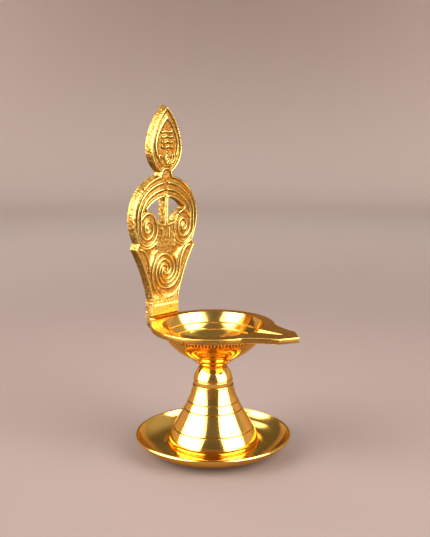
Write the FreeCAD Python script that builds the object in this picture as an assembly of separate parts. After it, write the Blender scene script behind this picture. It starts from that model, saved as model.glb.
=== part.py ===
# A small brass oil lamp: drip saucer, bell pedestal, lipped bowl and pierced back plate.
# Millimetres, +Z up. The origin is on the lamp's axis, on the surface it stands on.
# The lip points along -Y, and the plate stands at the back of the rim, at +Y.
import FreeCAD, Part
import math
import os

# Drip saucer
saucer_radius = 32.0
saucer_height = 7.7
saucer_wall = 1.6
saucer_bead_radius = 0.7
saucer_floor_top = 3.0
saucer_floor_radius = 19.4
foot_ring_radius = 21.0
foot_ring_width = 1.8
saucer_inside_sag_share = 0.16
saucer_outside_sag_share = 0.12

# Pedestal: a hollow bell that stands on the saucer's floor
pedestal_base_radius = 18.6
pedestal_edge_height = 2.0
bell_height = 23.4
bell_neck_radius = 8.3
bell_wave_share = 0.65
bell_swell = 0.85
band_height = 2.3
band_radius = 8.0
shoulder_height = 4.9
shoulder_top_radius = 5.8
shoulder_bulge_share = 0.07
pedestal_wall = 1.9
boss_height = 15.0
ring_line_height_shares = (0.245, 0.575, 0.72)
bell_steps = 16

# Bowl: part of a hollow sphere with a flat rim
bowl_outer_radius = 23.6
bowl_wall = 1.6
bowl_sphere_lift = 2.3
bowl_height = 17.9
bowl_floor_thickness = 5.6
bowl_foot_radius = 5.4
bowl_foot_height = 0.4
bowl_cove_radius = 6.0
bowl_cove_height = 1.1
bowl_neck_radius = 9.6
bowl_neck_bulge_share = 0.05
rim_overhang = 3.82
rim_thickness = 2.2
rim_edge_chamfer = 0.35
rim_bead_height = 2.3
rim_bead_bulge_share = 0.22
bowl_line_depths = (4.0, 6.5)

# Lip and wick channel, measured outwards from the lamp's axis
lip_reach = 14.1
lip_root_angle = 32.0
lip_nose_length = 5.2
lip_nose_half_width = 6.8
lip_flank_hollow = 0.7
channel_radius = 2.4
channel_depth = 1.6
channel_run = 10.0

# Back plate, in its own frame: across, back and up from the middle of its foot
plate_thickness = 3.8
plate_relief = 0.9
plate_inset = 1.3
plate_across = 0.5
plate_twist = -13.0
plate_lean = 1.45
plate_seat = 1.4
plate_foot_half_width = 7.7
plate_foot_height = 8.0
wing_half_width = 16.4
wing_rise = 21.0
wing_notch_half_width = 15.2
wing_notch_rise = 2.4
head_half_width = 17.7
head_centre_rise = 10.1
head_rise = 17.5
neck_half_width = 3.3
neck_rise = 0.8
flame_half_width = 8.4
flame_rise = 27.2
flame_widest_share = 0.44
flank_hollow_share = 0.04
cheek_bulge_share = 0.06
arch_middle_degrees = 50
flame_base_bulge_share = 0.15
flame_tip_bulge_share = 0.085
leaf_base_bulge_share = 0.17
foot_root = 1.0
heel_depth = 5.2
heel_side_step = 0.2
heel_corner_radius = 3.2

# Ridges of the plate's relief
ridge_width = 1.1
ridge_pitch = 2.75
ridge_side_pitch = 1.85
ridge_gap = 0.8
ridge_root = 0.25
border_width = 1.2
foot_pad_height = 5.5
arch_overlap_degrees = 2
arch_side_degrees = 90
arch_short_degrees = 56
volute_centre_across = 9.65
volute_drop = 4.1
volute_stretch_share = 1.33
volute_shrink = 1.3
volute_turn_shares = (0, 0.88)
volute_inner_shrink = 2.0
volute_inner_turn_shares = (0, 1.45)
volute_rim_inset = 0.4
volute_rim_degrees = (95, 125, 160)
brow_depth = 8.2
post_width = 2.3
opening_half_width = 10.0
opening_top_share = 0.465
opening_corner_share = 0.215
opening_foot_share = 0.66
opening_arch_bulge_share = 0.1
panel_stroke_width = 1.0
panel_stroke_length = 3.8
panel_stroke_offset = 1.8
panel_stroke_drop = 2.6
panel_half_width = 4.8
coil_rise = 11.5
coil_arm_radii = (9.9, 7.9, 6.1)
coil_turn_shares = ((0.05, 1.6), (0, 1.3), (-0.12, 1.0))
coil_shrink = 5.4
coil_stretch_share = 1.15
coil_belly_share = 1.36
collar_half_width = 8.6
collar_top_half_width = 13.4
flame_bar_width = 5.4
flame_bar_height = 0.9
flame_bar_shares = (0.365, 0.44, 0.515, 0.59)
curve_steps = 40

# Back lug under the rim, which the plate's heel laps, in a notch of the rim
lug_depth = 4.6
seat_side_gap = 0.2

# Threaded joints: crest radii of the male threads and the clearance round them
thread_radius = 2.5
thread_clearance = 0.05
thread_chamfer = 0.5
stud_engagement = 7.2
stud_in_bowl = 4.0
stud_end_gap = 0.3
washer_radius = 5.0
washer_thickness = 1.0
washer_bore_clearance = 0.25
screw_head_radius = 4.25
screw_head_height = 3.0
screw_ground_gap = 1.0
head_space = 1.2
slot_width = 1.2
slot_depth = 1.3
plate_screw_radius = 1.25
plate_screw_head_radius = 2.25
plate_screw_head_height = 1.4
plate_screw_grip = 3.6
plate_screw_end_gap = 0.4
plate_screw_offset = 3.8
plate_screw_drop = 2.3
plate_screw_slot_width = 0.6
plate_screw_slot_depth = 0.6

# Engraved lines and the one overrun of all cuts
line_radius = 0.28
overrun = 1.0

# Places worked out from the sizes above
pedestal_top = (saucer_floor_top + pedestal_edge_height + bell_height
                + band_height + shoulder_height)
rim_top = pedestal_top + bowl_height
rim_underside = rim_top - rim_thickness
sphere_centre = pedestal_top + bowl_sphere_lift + bowl_outer_radius
rim_radius = math.sqrt(bowl_outer_radius ** 2 - (sphere_centre - rim_underside) ** 2) + rim_overhang
lip_length = rim_radius + lip_reach
plate_radius = rim_radius - plate_inset
bowl_inner_radius = bowl_outer_radius - bowl_wall
well_ceiling = screw_ground_gap + screw_head_height + washer_thickness
well_radius = washer_radius + head_space
hole_radius = thread_radius + thread_clearance

# Levels of the plate above its foot, worked out from its rises
wing_height = plate_foot_height + wing_rise
wing_notch_height = wing_height + wing_notch_rise
head_centre_height = wing_notch_height + head_centre_rise
neck_height = head_centre_height + head_rise + neck_rise
flame_widest_height = neck_height + flame_rise * flame_widest_share
plate_height = neck_height + flame_rise
volute_centre_height = head_centre_height - volute_drop
opening_top_height = head_centre_height + head_rise * opening_top_share
opening_corner_height = head_centre_height + head_rise * opening_corner_share
opening_base_height = head_centre_height - volute_drop * opening_foot_share
panel_stroke_height = volute_centre_height - panel_stroke_drop
coil_centre_height = plate_foot_height + coil_rise
volute_radius = head_half_width - border_width / 2 - ridge_side_pitch - volute_centre_across

Vector = FreeCAD.Vector
Z_AXIS = Vector(0, 0, 1)
FORWARD = Vector(0, -1, 0)
ORIGIN = Vector(0, 0, 0)


def closed_wire(start, steps):
    """Wire from start through steps, and back: (point,) is straight, (middle, end) an arc."""
    edges = []
    here = start
    for step in steps + [(start,)]:
        end = step[-1]
        if len(step) == 2:
            edges.append(Part.Arc(here, step[0], end).toShape())
        elif here.distanceToPoint(end) > 0:
            edges.append(Part.LineSegment(here, end).toShape())
        here = end
    return Part.Wire(edges)


def turned(start, steps):
    """Solid turned about the lamp's axis from a closed outline in the XZ plane."""
    face = Part.Face(closed_wire(start, steps))
    return face.revolve(ORIGIN, Z_AXIS, 360)


def rz(radius, height):
    """Point of a turned outline."""
    return Vector(radius, 0, height)


def bulged(a, b, share):
    """Middle of an arc from a to b that bulges to the right of that direction."""
    run = b - a
    return (a + b) * 0.5 + Vector(run.z, 0, -run.x) * share


def sphere_r(radius, height):
    """Radius at which a sphere about the bowl's centre cuts a level."""
    return math.sqrt(radius ** 2 - (sphere_centre - height) ** 2)


def sphere_z(radius, across):
    """Height of the lower half of such a sphere at a distance from the axis."""
    return sphere_centre - math.sqrt(radius ** 2 - across ** 2)


def bell_radius(height_share):
    """Radius of the bell at a share of its height: a half wave, leant towards a cone."""
    wave = (1 + math.cos(math.pi * height_share ** bell_swell)) / 2
    fullness = bell_wave_share * wave + (1 - bell_wave_share) * (1 - height_share)
    return bell_neck_radius + (pedestal_base_radius - bell_neck_radius) * fullness


def line_ring(radius, height):
    """Ring that cuts an engraved line."""
    return Part.makeTorus(radius, line_radius, Vector(0, 0, height), Z_AXIS)


def make_drip_saucer():
    floor_under = saucer_floor_top - saucer_wall
    bead_centre = rz(saucer_radius - saucer_bead_radius, saucer_height - saucer_bead_radius)
    bead_low = bead_centre + Vector(0, 0, -saucer_bead_radius)
    bead_side = bead_centre + Vector(saucer_bead_radius, 0, 0)
    lean = math.radians(135)
    bead_inner = bead_centre + Vector(math.cos(lean), 0, math.sin(lean)) * saucer_bead_radius
    foot_outer = rz(foot_ring_radius, floor_under)
    floor_edge = rz(saucer_floor_radius, saucer_floor_top)
    ring_inner = foot_ring_radius - foot_ring_width
    well_outer = well_radius + saucer_wall
    well_top = well_ceiling + saucer_wall
    return turned(rz(hole_radius, well_ceiling), [
        (rz(well_radius, well_ceiling),),
        (rz(well_radius, floor_under),),
        (rz(ring_inner, floor_under),),
        (rz(ring_inner, 0),),
        (rz(foot_ring_radius, 0),),
        (foot_outer,),
        (bulged(foot_outer, bead_low, saucer_outside_sag_share), bead_low),
        (bead_side, bead_inner),
        (bulged(floor_edge, bead_inner, saucer_inside_sag_share), floor_edge),
        (rz(well_outer, saucer_floor_top),),
        (rz(well_outer, well_top),),
        (rz(hole_radius, well_top),),
    ])


def bell_curve(base, inset, top_share):
    """Edge of the bell's side, set in from its outside, up to a share of its height."""
    points = []
    for step in range(bell_steps + 1):
        share = top_share * step / bell_steps
        points.append(rz(bell_radius(share) - inset, base + bell_height * share))
    curve = Part.BSplineCurve()
    curve.interpolate(points)
    return curve.toShape(), points[0], points[-1]


def make_pedestal():
    base = saucer_floor_top
    edge_top = base + pedestal_edge_height
    band_low = edge_top + bell_height
    band_high = band_low + band_height
    shoulder_low = rz(band_radius, band_high)
    shoulder_top = rz(shoulder_top_radius, pedestal_top)
    bell, bell_low, bell_high = bell_curve(edge_top, 0, 1)
    shoulder_middle = bulged(shoulder_low, shoulder_top, shoulder_bulge_share)
    shoulder = Part.Arc(shoulder_low, shoulder_middle, shoulder_top)
    outline = [
        Part.LineSegment(rz(0, base), rz(pedestal_base_radius, base)).toShape(),
        Part.LineSegment(rz(pedestal_base_radius, base), bell_low).toShape(),
        bell,
        Part.LineSegment(bell_high, rz(band_radius, band_low)).toShape(),
        Part.LineSegment(rz(band_radius, band_low), shoulder_low).toShape(),
        shoulder.toShape(),
        Part.LineSegment(shoulder_top, rz(0, pedestal_top)).toShape(),
        Part.LineSegment(rz(0, pedestal_top), rz(0, base)).toShape(),
    ]
    body = Part.Face(Part.Wire(outline)).revolve(ORIGIN, Z_AXIS, 360)
    boss_share = 1 - (boss_height - band_height - shoulder_height) / bell_height
    hollow_side, hollow_low, hollow_high = bell_curve(edge_top, pedestal_wall, boss_share)
    mouth = rz(hollow_low.x, base - overrun)
    hollow_outline = [
        Part.LineSegment(rz(0, mouth.z), mouth).toShape(),
        Part.LineSegment(mouth, hollow_low).toShape(),
        hollow_side,
        Part.LineSegment(hollow_high, rz(0, hollow_high.z)).toShape(),
        Part.LineSegment(rz(0, hollow_high.z), rz(0, mouth.z)).toShape(),
    ]
    hollow = Part.Face(Part.Wire(hollow_outline)).revolve(ORIGIN, Z_AXIS, 360)
    bore = Part.makeCylinder(hole_radius, pedestal_top + overrun)
    lines = [line_ring(bell_radius(share), edge_top + bell_height * share)
             for share in ring_line_height_shares]
    lines.append(line_ring(band_radius, band_low))
    lines.append(line_ring(band_radius, band_high))
    return body.cut([hollow, bore] + lines)


def make_lip():
    """Flat lip that runs out of the rim, with hollow flanks and a pointed nose."""
    root = math.radians(lip_root_angle)
    root_across = rim_radius * math.sin(root)
    root_out = rim_radius * math.cos(root)
    corner_out = lip_length - lip_nose_length
    flank_run = corner_out - root_out
    flank_drop = root_across - lip_nose_half_width
    flank_length = math.hypot(flank_run, flank_drop)
    middle_across = (root_across + lip_nose_half_width) / 2 - lip_flank_hollow * flank_run / flank_length
    middle_out = (root_out + corner_out) / 2 - lip_flank_hollow * flank_drop / flank_length

    def at(across, out):
        return Vector(across, -out, rim_underside)

    wire = closed_wire(at(root_across, root_out), [
        (at(middle_across, middle_out), at(lip_nose_half_width, corner_out)),
        (at(0, lip_length),),
        (at(-lip_nose_half_width, corner_out),),
        (at(-middle_across, middle_out), at(-root_across, root_out)),
    ])
    return Part.Face(wire).extrude(Vector(0, 0, rim_thickness))


def make_wick_channel():
    """Gouge that cuts the channel: deepest at the mouth, run out along the lip."""
    mouth = sphere_r(bowl_inner_radius, rim_top)
    slope = math.atan2(channel_depth, channel_run)
    along = Vector(0, -math.cos(slope), math.sin(slope))
    across = Vector(0, math.sin(slope), math.cos(slope))
    start = Vector(0, -mouth, rim_top - channel_depth) + across * channel_radius - along * channel_radius
    return Part.makeCylinder(channel_radius, lip_length, start, along)


def make_oil_bowl():
    floor_top = pedestal_top + bowl_floor_thickness
    floor_radius = sphere_r(bowl_inner_radius, floor_top)
    mouth_radius = sphere_r(bowl_inner_radius, rim_top)
    wall_top = rz(sphere_r(bowl_outer_radius, rim_underside), rim_underside)
    neck = rz(bowl_neck_radius, sphere_z(bowl_outer_radius, bowl_neck_radius))
    foot_side = rz(bowl_foot_radius, pedestal_top + bowl_foot_height)
    foot_neck = rz(bowl_cove_radius, foot_side.z + bowl_cove_height)
    wall_middle_height = (neck.z + wall_top.z) / 2
    wall_middle = rz(sphere_r(bowl_outer_radius, wall_middle_height), wall_middle_height)
    inner_middle_height = (floor_top + rim_top) / 2
    inner_middle = rz(sphere_r(bowl_inner_radius, inner_middle_height), inner_middle_height)
    dish = turned(rz(0, pedestal_top), [
        (rz(bowl_foot_radius, pedestal_top),),
        (foot_side,),
        (foot_neck,),
        (bulged(foot_neck, neck, bowl_neck_bulge_share), neck),
        (wall_middle, wall_top),
        (rz(rim_radius - rim_edge_chamfer, rim_underside),),
        (rz(rim_radius, rim_underside + rim_edge_chamfer),),
        (rz(rim_radius, rim_top - rim_edge_chamfer),),
        (rz(rim_radius - rim_edge_chamfer, rim_top),),
        (rz(mouth_radius, rim_top),),
        (inner_middle, rz(floor_radius, floor_top)),
        (rz(0, floor_top),),
    ])
    bead_low_height = rim_underside - rim_bead_height
    bead_low = rz(sphere_r(bowl_outer_radius, bead_low_height), bead_low_height)
    bead = turned(bead_low, [
        (bulged(bead_low, wall_top, rim_bead_bulge_share), wall_top),
        (wall_top + Vector(-bowl_wall / 2, 0, 0),),
        (bead_low + Vector(-bowl_wall / 2, 0, 0),),
    ])
    rim_width = rim_radius - mouth_radius
    lug = on_lamp(Part.makeBox(2 * plate_foot_half_width, rim_width, lug_depth,
                               Vector(-plate_foot_half_width, plate_seat - rim_width, -lug_depth)))
    lug = lug.cut(Part.makeSphere(bowl_inner_radius, Vector(0, 0, sphere_centre)))
    bowl = dish.fuse([bead, make_lip(), lug])
    notch_half_width = plate_foot_half_width + seat_side_gap
    seat = on_lamp(Part.makeBox(2 * notch_half_width, rim_width, 2 * lug_depth,
                                Vector(-notch_half_width, plate_seat, -lug_depth)))
    stud_hole = Part.makeCylinder(hole_radius, stud_in_bowl + stud_end_gap, Vector(0, 0, pedestal_top))
    lines = []
    for depth in bowl_line_depths:
        height = rim_top - depth
        lines.append(line_ring(sphere_r(bowl_inner_radius, height), height))
    screw_holes = [make_plate_screw_hole(side) for side in (-1, 1)]
    return bowl.cut([seat, stud_hole, make_wick_channel()] + lines + screw_holes).removeSplitter()


def make_bowl_stud():
    low = pedestal_top - stud_engagement
    high = pedestal_top + stud_in_bowl
    return turned(rz(0, low), [
        (rz(thread_radius - thread_chamfer, low),),
        (rz(thread_radius, low + thread_chamfer),),
        (rz(thread_radius, high - thread_chamfer),),
        (rz(thread_radius - thread_chamfer, high),),
        (rz(0, high),),
    ])


def make_base_washer():
    low = well_ceiling - washer_thickness
    disc = Part.makeCylinder(washer_radius, washer_thickness, Vector(0, 0, low))
    bore = Part.makeCylinder(thread_radius + washer_bore_clearance, washer_thickness + 2 * overrun,
                             Vector(0, 0, low - overrun))
    return disc.cut(bore)


def make_base_screw():
    head_low = screw_ground_gap
    head_top = head_low + screw_head_height
    tip = pedestal_top - stud_engagement - stud_end_gap
    screw = turned(rz(0, head_low), [
        (rz(screw_head_radius - thread_chamfer, head_low),),
        (rz(screw_head_radius, head_low + thread_chamfer),),
        (rz(screw_head_radius, head_top),),
        (rz(thread_radius, head_top),),
        (rz(thread_radius, tip - thread_chamfer),),
        (rz(thread_radius - thread_chamfer, tip),),
        (rz(0, tip),),
    ])
    slot = Part.makeBox(2 * washer_radius, slot_width, slot_depth + overrun,
                        Vector(-washer_radius, -slot_width / 2, head_low - overrun))
    return screw.cut(slot)


def plate_frame():
    """Place of the plate's own frame on the lamp."""
    turn = FreeCAD.Rotation(Z_AXIS, plate_twist)
    return FreeCAD.Placement(Vector(plate_across, plate_radius, rim_top), turn)


def plate_screw_axis(side):
    """Point where a plate screw's axis meets the heel's back."""
    return Vector(side * plate_screw_offset, plate_thickness, -plate_screw_drop)


def on_lamp(shape):
    """Carries a shape from the plate's frame to its place on the lamp."""
    shape.Placement = plate_frame().multiply(shape.Placement)
    return shape


def make_plate_screw_hole(side):
    """Hole through the heel and into the lug."""
    mouth = plate_screw_axis(side) + Vector(0, overrun, 0)
    length = overrun + plate_thickness - plate_seat + plate_screw_grip
    return on_lamp(Part.makeCylinder(plate_screw_radius + thread_clearance, length, mouth, FORWARD))


def make_plate_screw(side):
    """Slotted screw through the heel, with its head at the back."""
    seat = plate_screw_axis(side)
    length = plate_thickness - plate_seat + plate_screw_grip - plate_screw_end_gap
    shank = Part.makeCylinder(plate_screw_radius, length, seat, FORWARD)
    head = Part.makeCylinder(plate_screw_head_radius, plate_screw_head_height, seat, -FORWARD)
    slot_corner = seat + Vector(-plate_screw_head_radius, plate_screw_head_height - plate_screw_slot_depth,
                                -plate_screw_slot_width / 2)
    slot = Part.makeBox(2 * plate_screw_head_radius, plate_screw_slot_depth + overrun,
                        plate_screw_slot_width, slot_corner)
    return on_lamp(shank.fuse(head).cut(slot).removeSplitter())


def make_plate_screws():
    return Part.makeCompound([make_plate_screw(side) for side in (-1, 1)])


def up(across, height):
    """Point on the front plane of the plate."""
    return Vector(across, 0, height)


def mirrored(point):
    return Vector(-point.x, point.y, point.z)


def arch_point(half_width, rise, degrees):
    """Point of an arch over the head, counted from its crown towards the right."""
    angle = math.radians(degrees)
    return up(half_width * math.sin(angle), head_centre_height + rise * math.cos(angle))


def body_face(inset):
    """Foot, wings and head of the plate as one face, set in by inset at its sides."""
    foot = up(plate_foot_half_width - inset, -foot_root)
    shank = up(plate_foot_half_width - inset, plate_foot_height)
    wing = up(wing_half_width - inset, wing_height)
    notch = up(wing_notch_half_width - inset, wing_notch_height)
    side = up(head_half_width - inset, head_centre_height)
    flank = bulged(shank, wing, -flank_hollow_share)
    cheek = bulged(notch, side, cheek_bulge_share)
    shoulder = arch_point(head_half_width - inset, head_rise - inset, arch_middle_degrees)
    crown = arch_point(head_half_width - inset, head_rise - inset, 0)
    return Part.Face(closed_wire(mirrored(foot), [
        (foot,),
        (shank,),
        (flank, wing),
        (notch,),
        (cheek, side),
        (shoulder, crown),
        (mirrored(shoulder), mirrored(side)),
        (mirrored(cheek), mirrored(notch)),
        (mirrored(wing),),
        (mirrored(flank), mirrored(shank)),
    ]))


def flame_face(inset):
    """Leaf-shaped flame on a short neck that is rooted in the head."""
    root = up(neck_half_width - inset, head_centre_height + head_rise - neck_half_width)
    neck = up(neck_half_width - inset, neck_height + inset)
    widest = up(flame_half_width - inset, flame_widest_height)
    tip = up(0, plate_height - 2 * inset)
    base_curve = bulged(neck, widest, flame_base_bulge_share)
    tip_curve = bulged(widest, tip, flame_tip_bulge_share)
    return Part.Face(closed_wire(mirrored(root), [
        (root,),
        (neck,),
        (base_curve, widest),
        (tip_curve, tip),
        (mirrored(tip_curve), mirrored(widest)),
        (mirrored(base_curve), mirrored(neck)),
    ]))


def leaf_face(inset):
    """The flame's leaf alone, pointed at its base, for the ridge inside its border."""
    base = up(0, neck_height + inset)
    widest = up(flame_half_width - inset, flame_widest_height)
    tip = up(0, plate_height - 2 * inset)
    base_curve = bulged(base, widest, leaf_base_bulge_share)
    tip_curve = bulged(widest, tip, flame_tip_bulge_share)
    return Part.Face(closed_wire(base, [
        (base_curve, widest),
        (tip_curve, tip),
        (mirrored(tip_curve), mirrored(widest)),
        (mirrored(base_curve), base),
    ]))


def volute_point(radius, degrees):
    """Point about the right volute's centre, counted from straight right, upwards."""
    angle = math.radians(degrees)
    return up(volute_centre_across + radius * math.cos(angle),
              volute_centre_height + radius * volute_stretch_share * math.sin(angle))


def make_opening():
    """Pierced opening at the right of the post, under the arch and over the volute."""
    base = up(post_width / 2, opening_base_height)
    top = up(post_width / 2, opening_top_height)
    corner = up(opening_half_width, opening_corner_height)
    near, middle, far = [volute_point(volute_radius - volute_rim_inset, degrees)
                         for degrees in volute_rim_degrees]
    face = Part.Face(closed_wire(base, [
        (top,),
        (bulged(top, corner, -opening_arch_bulge_share), corner),
        (near,),
        (middle, far),
    ]))
    face.translate(Vector(0, -overrun, 0))
    return face.extrude(Vector(0, plate_thickness + 2 * overrun, 0))


def raised(face):
    """Relief from the front plane down into the slab."""
    return face.extrude(Vector(0, plate_relief + ridge_root, 0))


def ridge(points):
    """Raised band of even width along a line of points."""
    right = []
    left = []
    for index, point in enumerate(points):
        run = points[min(index + 1, len(points) - 1)] - points[max(index - 1, 0)]
        side = Vector(run.z, 0, -run.x) * (ridge_width / 2 / run.Length)
        right.append(point + side)
        left.append(point - side)
    edges = []
    for line in (right, left):
        curve = Part.BSplineCurve()
        curve.interpolate(line)
        edges.append(curve.toShape())
    edges.append(Part.LineSegment(right[-1], left[-1]).toShape())
    edges.append(Part.LineSegment(left[0], right[0]).toShape())
    return raised(Part.Face(Part.Wire(Part.__sortEdges__(edges))))


def spiral_points(centre, radius, shrink, turn_shares, stretch_share, belly_share):
    """Arm that winds clockwise and inwards: radius is its reach to the right, shrink is for a turn."""
    first, last = turn_shares
    points = []
    for step in range(curve_steps + 1):
        turn = first + (last - first) * step / curve_steps
        reach = radius - shrink * turn
        rise_share = belly_share if 0 < 2 * turn < 1 else stretch_share
        angle = -2 * math.pi * turn
        points.append(centre + up(reach * math.cos(angle), reach * rise_share * math.sin(angle)))
    return points


def volute_points(radius, shrink, turn_shares):
    """Arm of the right volute."""
    return spiral_points(up(volute_centre_across, volute_centre_height), radius, shrink, turn_shares,
                         volute_stretch_share, volute_stretch_share)


def arch_points(order, last_degrees):
    """Arch ridge, counted inwards from the border, from just past its crown to the right."""
    half_width = head_half_width - border_width / 2 - order * ridge_side_pitch
    rise = head_rise - border_width / 2 - order * ridge_pitch
    points = []
    for step in range(curve_steps + 1):
        degrees = -arch_overlap_degrees + (last_degrees + arch_overlap_degrees) * step / curve_steps
        points.append(arch_point(half_width, rise, degrees))
    return points


def coil_points(arm):
    """One of the three arms of the spiral in the middle; the first one has a deep belly."""
    belly_share = coil_stretch_share if arm else coil_belly_share
    return spiral_points(up(0, coil_centre_height), coil_arm_radii[arm], coil_shrink,
                         coil_turn_shares[arm], coil_stretch_share, belly_share)


def collar_points(half_width):
    """Ridge from the wing's tip down to the level of the coil's centre."""
    points = []
    for step in range(curve_steps // 4 + 1):
        angle = math.pi / 2 * (1 - 4 * step / curve_steps)
        flare = (collar_top_half_width - half_width) * (1 - math.cos(angle))
        points.append(up(half_width + flare,
                         coil_centre_height + (wing_height - coil_centre_height) * math.sin(angle)))
    return points


def brow_points():
    """Ridge under the right volute, from the notch to the panel."""
    outer = up(wing_notch_half_width - border_width / 2, wing_notch_height)
    inner = up(panel_half_width, wing_notch_height)
    lowest = volute_centre_height - brow_depth
    points = []
    for step in range(curve_steps // 2 + 1):
        share = 2 * step / curve_steps
        sag = (wing_notch_height - lowest) * math.sin(math.pi * share)
        points.append(outer + (inner - outer) * share + up(0, -sag))
    return points


def block(width, low, high, across=0):
    """Raised rectangle of the relief."""
    return Part.makeBox(width, plate_relief + ridge_root, high - low, Vector(across - width / 2, 0, low))


def make_heel():
    """Tongue at the back of the foot that laps the lug, with rounded corners."""
    low = -heel_depth
    outer = plate_foot_half_width - heel_side_step
    inner = outer - heel_corner_radius
    lean = heel_corner_radius * math.sqrt(0.5)
    knee = up(inner + lean, low + heel_corner_radius - lean)
    side = up(outer, low + heel_corner_radius)
    face = Part.Face(closed_wire(up(-inner, low), [
        (up(inner, low),),
        (knee, side),
        (up(outer, ridge_width),),
        (up(-outer, ridge_width),),
        (mirrored(side),),
        (mirrored(knee), up(-inner, low)),
    ]))
    face.translate(Vector(0, plate_seat, 0))
    return face.extrude(Vector(0, plate_thickness - plate_seat, 0))


def make_back_plate():
    slabs = []
    for face in (body_face(0), flame_face(0)):
        face.translate(Vector(0, plate_relief, 0))
        slabs.append(face.extrude(Vector(0, plate_thickness - plate_relief, 0)))
    ring = border_width
    relief = [
        raised(body_face(0)).cut(raised(body_face(ring))),
        raised(flame_face(0)).cut(raised(flame_face(ring))),
        raised(leaf_face(ring + ridge_gap)).cut(raised(leaf_face(2 * ring + ridge_gap))),
        block(2 * plate_foot_half_width, -foot_root, foot_pad_height),
        block(post_width, opening_base_height - ridge_width, opening_top_height + ridge_width),
    ]
    inner_radius = volute_radius - ridge_side_pitch
    halves = [
        ridge(arch_points(1, arch_side_degrees) + volute_points(volute_radius, volute_shrink,
                                                                volute_turn_shares)[1:]),
        ridge(arch_points(2, arch_side_degrees) + volute_points(inner_radius, volute_inner_shrink,
                                                                volute_inner_turn_shares)[1:]),
        ridge(arch_points(3, arch_short_degrees)),
        ridge(brow_points()),
        block(ridge_width, wing_height, volute_centre_height, panel_half_width),
        block(panel_stroke_width, panel_stroke_height - panel_stroke_length / 2,
              panel_stroke_height + panel_stroke_length / 2, panel_stroke_offset),
    ]
    relief += halves
    relief += [half.mirror(ORIGIN, Vector(1, 0, 0)) for half in halves]
    relief.append(ridge(coil_points(0)))
    relief.append(ridge(collar_points(coil_arm_radii[1]) + coil_points(1)[1:]))
    relief.append(ridge(coil_points(2)))
    relief.append(ridge(collar_points(collar_half_width)).mirror(ORIGIN, Vector(1, 0, 0)))
    for share in flame_bar_shares:
        low = neck_height + flame_rise * share
        relief.append(block(flame_bar_width, low, low + flame_bar_height))
    opening = make_opening()
    openings = [opening, opening.mirror(ORIGIN, Vector(1, 0, 0))]
    plate = slabs[0]
    for piece in slabs[1:] + relief:
        plate = plate.fuse(piece)
    plate = plate.cut(openings)
    plate.rotate(ORIGIN, -FORWARD, plate_lean)
    below = Part.makeBox(2 * wing_half_width, plate_thickness + 2 * overrun, foot_root + wing_half_width,
                         Vector(-wing_half_width, -overrun, -foot_root - wing_half_width))
    plate = on_lamp(plate.cut(below).fuse(make_heel()).removeSplitter())
    return plate.cut([make_plate_screw_hole(side) for side in (-1, 1)])


def main():
    os.makedirs("parts", exist_ok=True)
    makers = {
        "drip_saucer": make_drip_saucer,
        "pedestal": make_pedestal,
        "oil_bowl": make_oil_bowl,
        "bowl_stud": make_bowl_stud,
        "back_plate": make_back_plate,
        "plate_screws": make_plate_screws,
        "base_screw": make_base_screw,
        "base_washer": make_base_washer,
    }
    for node, make in makers.items():
        shape = make()
        print(node, "solids", len(shape.Solids), "valid", shape.isValid(), "volume", round(shape.Volume, 1))
        shape.exportStep("parts/" + node + ".step")


main()
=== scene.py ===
import math
from functools import partial, reduce

import bpy
import numpy as np
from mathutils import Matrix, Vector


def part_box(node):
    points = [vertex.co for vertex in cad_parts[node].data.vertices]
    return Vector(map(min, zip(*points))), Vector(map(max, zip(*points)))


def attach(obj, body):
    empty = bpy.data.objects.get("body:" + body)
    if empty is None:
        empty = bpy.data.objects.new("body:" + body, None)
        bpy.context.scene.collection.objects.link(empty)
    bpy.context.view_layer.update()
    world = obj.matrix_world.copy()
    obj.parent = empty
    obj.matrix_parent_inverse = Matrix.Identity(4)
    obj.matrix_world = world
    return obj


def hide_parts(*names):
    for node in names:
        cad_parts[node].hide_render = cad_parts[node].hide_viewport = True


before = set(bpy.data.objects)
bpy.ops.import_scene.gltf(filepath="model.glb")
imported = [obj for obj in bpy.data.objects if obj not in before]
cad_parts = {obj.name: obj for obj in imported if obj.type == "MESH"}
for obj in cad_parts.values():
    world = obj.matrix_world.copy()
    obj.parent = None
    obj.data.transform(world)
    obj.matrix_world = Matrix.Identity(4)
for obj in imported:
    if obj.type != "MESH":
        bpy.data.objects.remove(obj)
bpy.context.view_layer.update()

bl_info = {
    "name": "Brass oil lamp",
    "version": (1, 0, 0),
    "blender": (4, 5, 0),
    "location": "View3D > Sidebar > Oil lamp",
    "description": "Turned and cast brass pieces of a small oil lamp, and a studio round it",
    "category": "Add Mesh",
}

# The lamp's frame, in metres
SAUCER_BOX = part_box("drip_saucer")
PEDESTAL_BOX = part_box("pedestal")
BOWL_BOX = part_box("oil_bowl")
PLATE_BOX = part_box("back_plate")
STUD_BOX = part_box("bowl_stud")

MM = 0.001
SEED = 11


# Properties

def length(name, description, default):
    return bpy.props.FloatProperty(name=name, description=description, default=default,
                                   unit="LENGTH", precision=5)


def share(name, description, default):
    return bpy.props.FloatProperty(name=name, description=description, default=default,
                                   subtype="FACTOR")


def angle(name, description, default):
    return bpy.props.FloatProperty(name=name, description=description, subtype="ANGLE",
                                   default=math.radians(default))


def colour(name, description, default):
    return bpy.props.FloatVectorProperty(name=name, description=description, default=default,
                                         subtype="COLOR", size=3, min=0, max=1)


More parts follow.
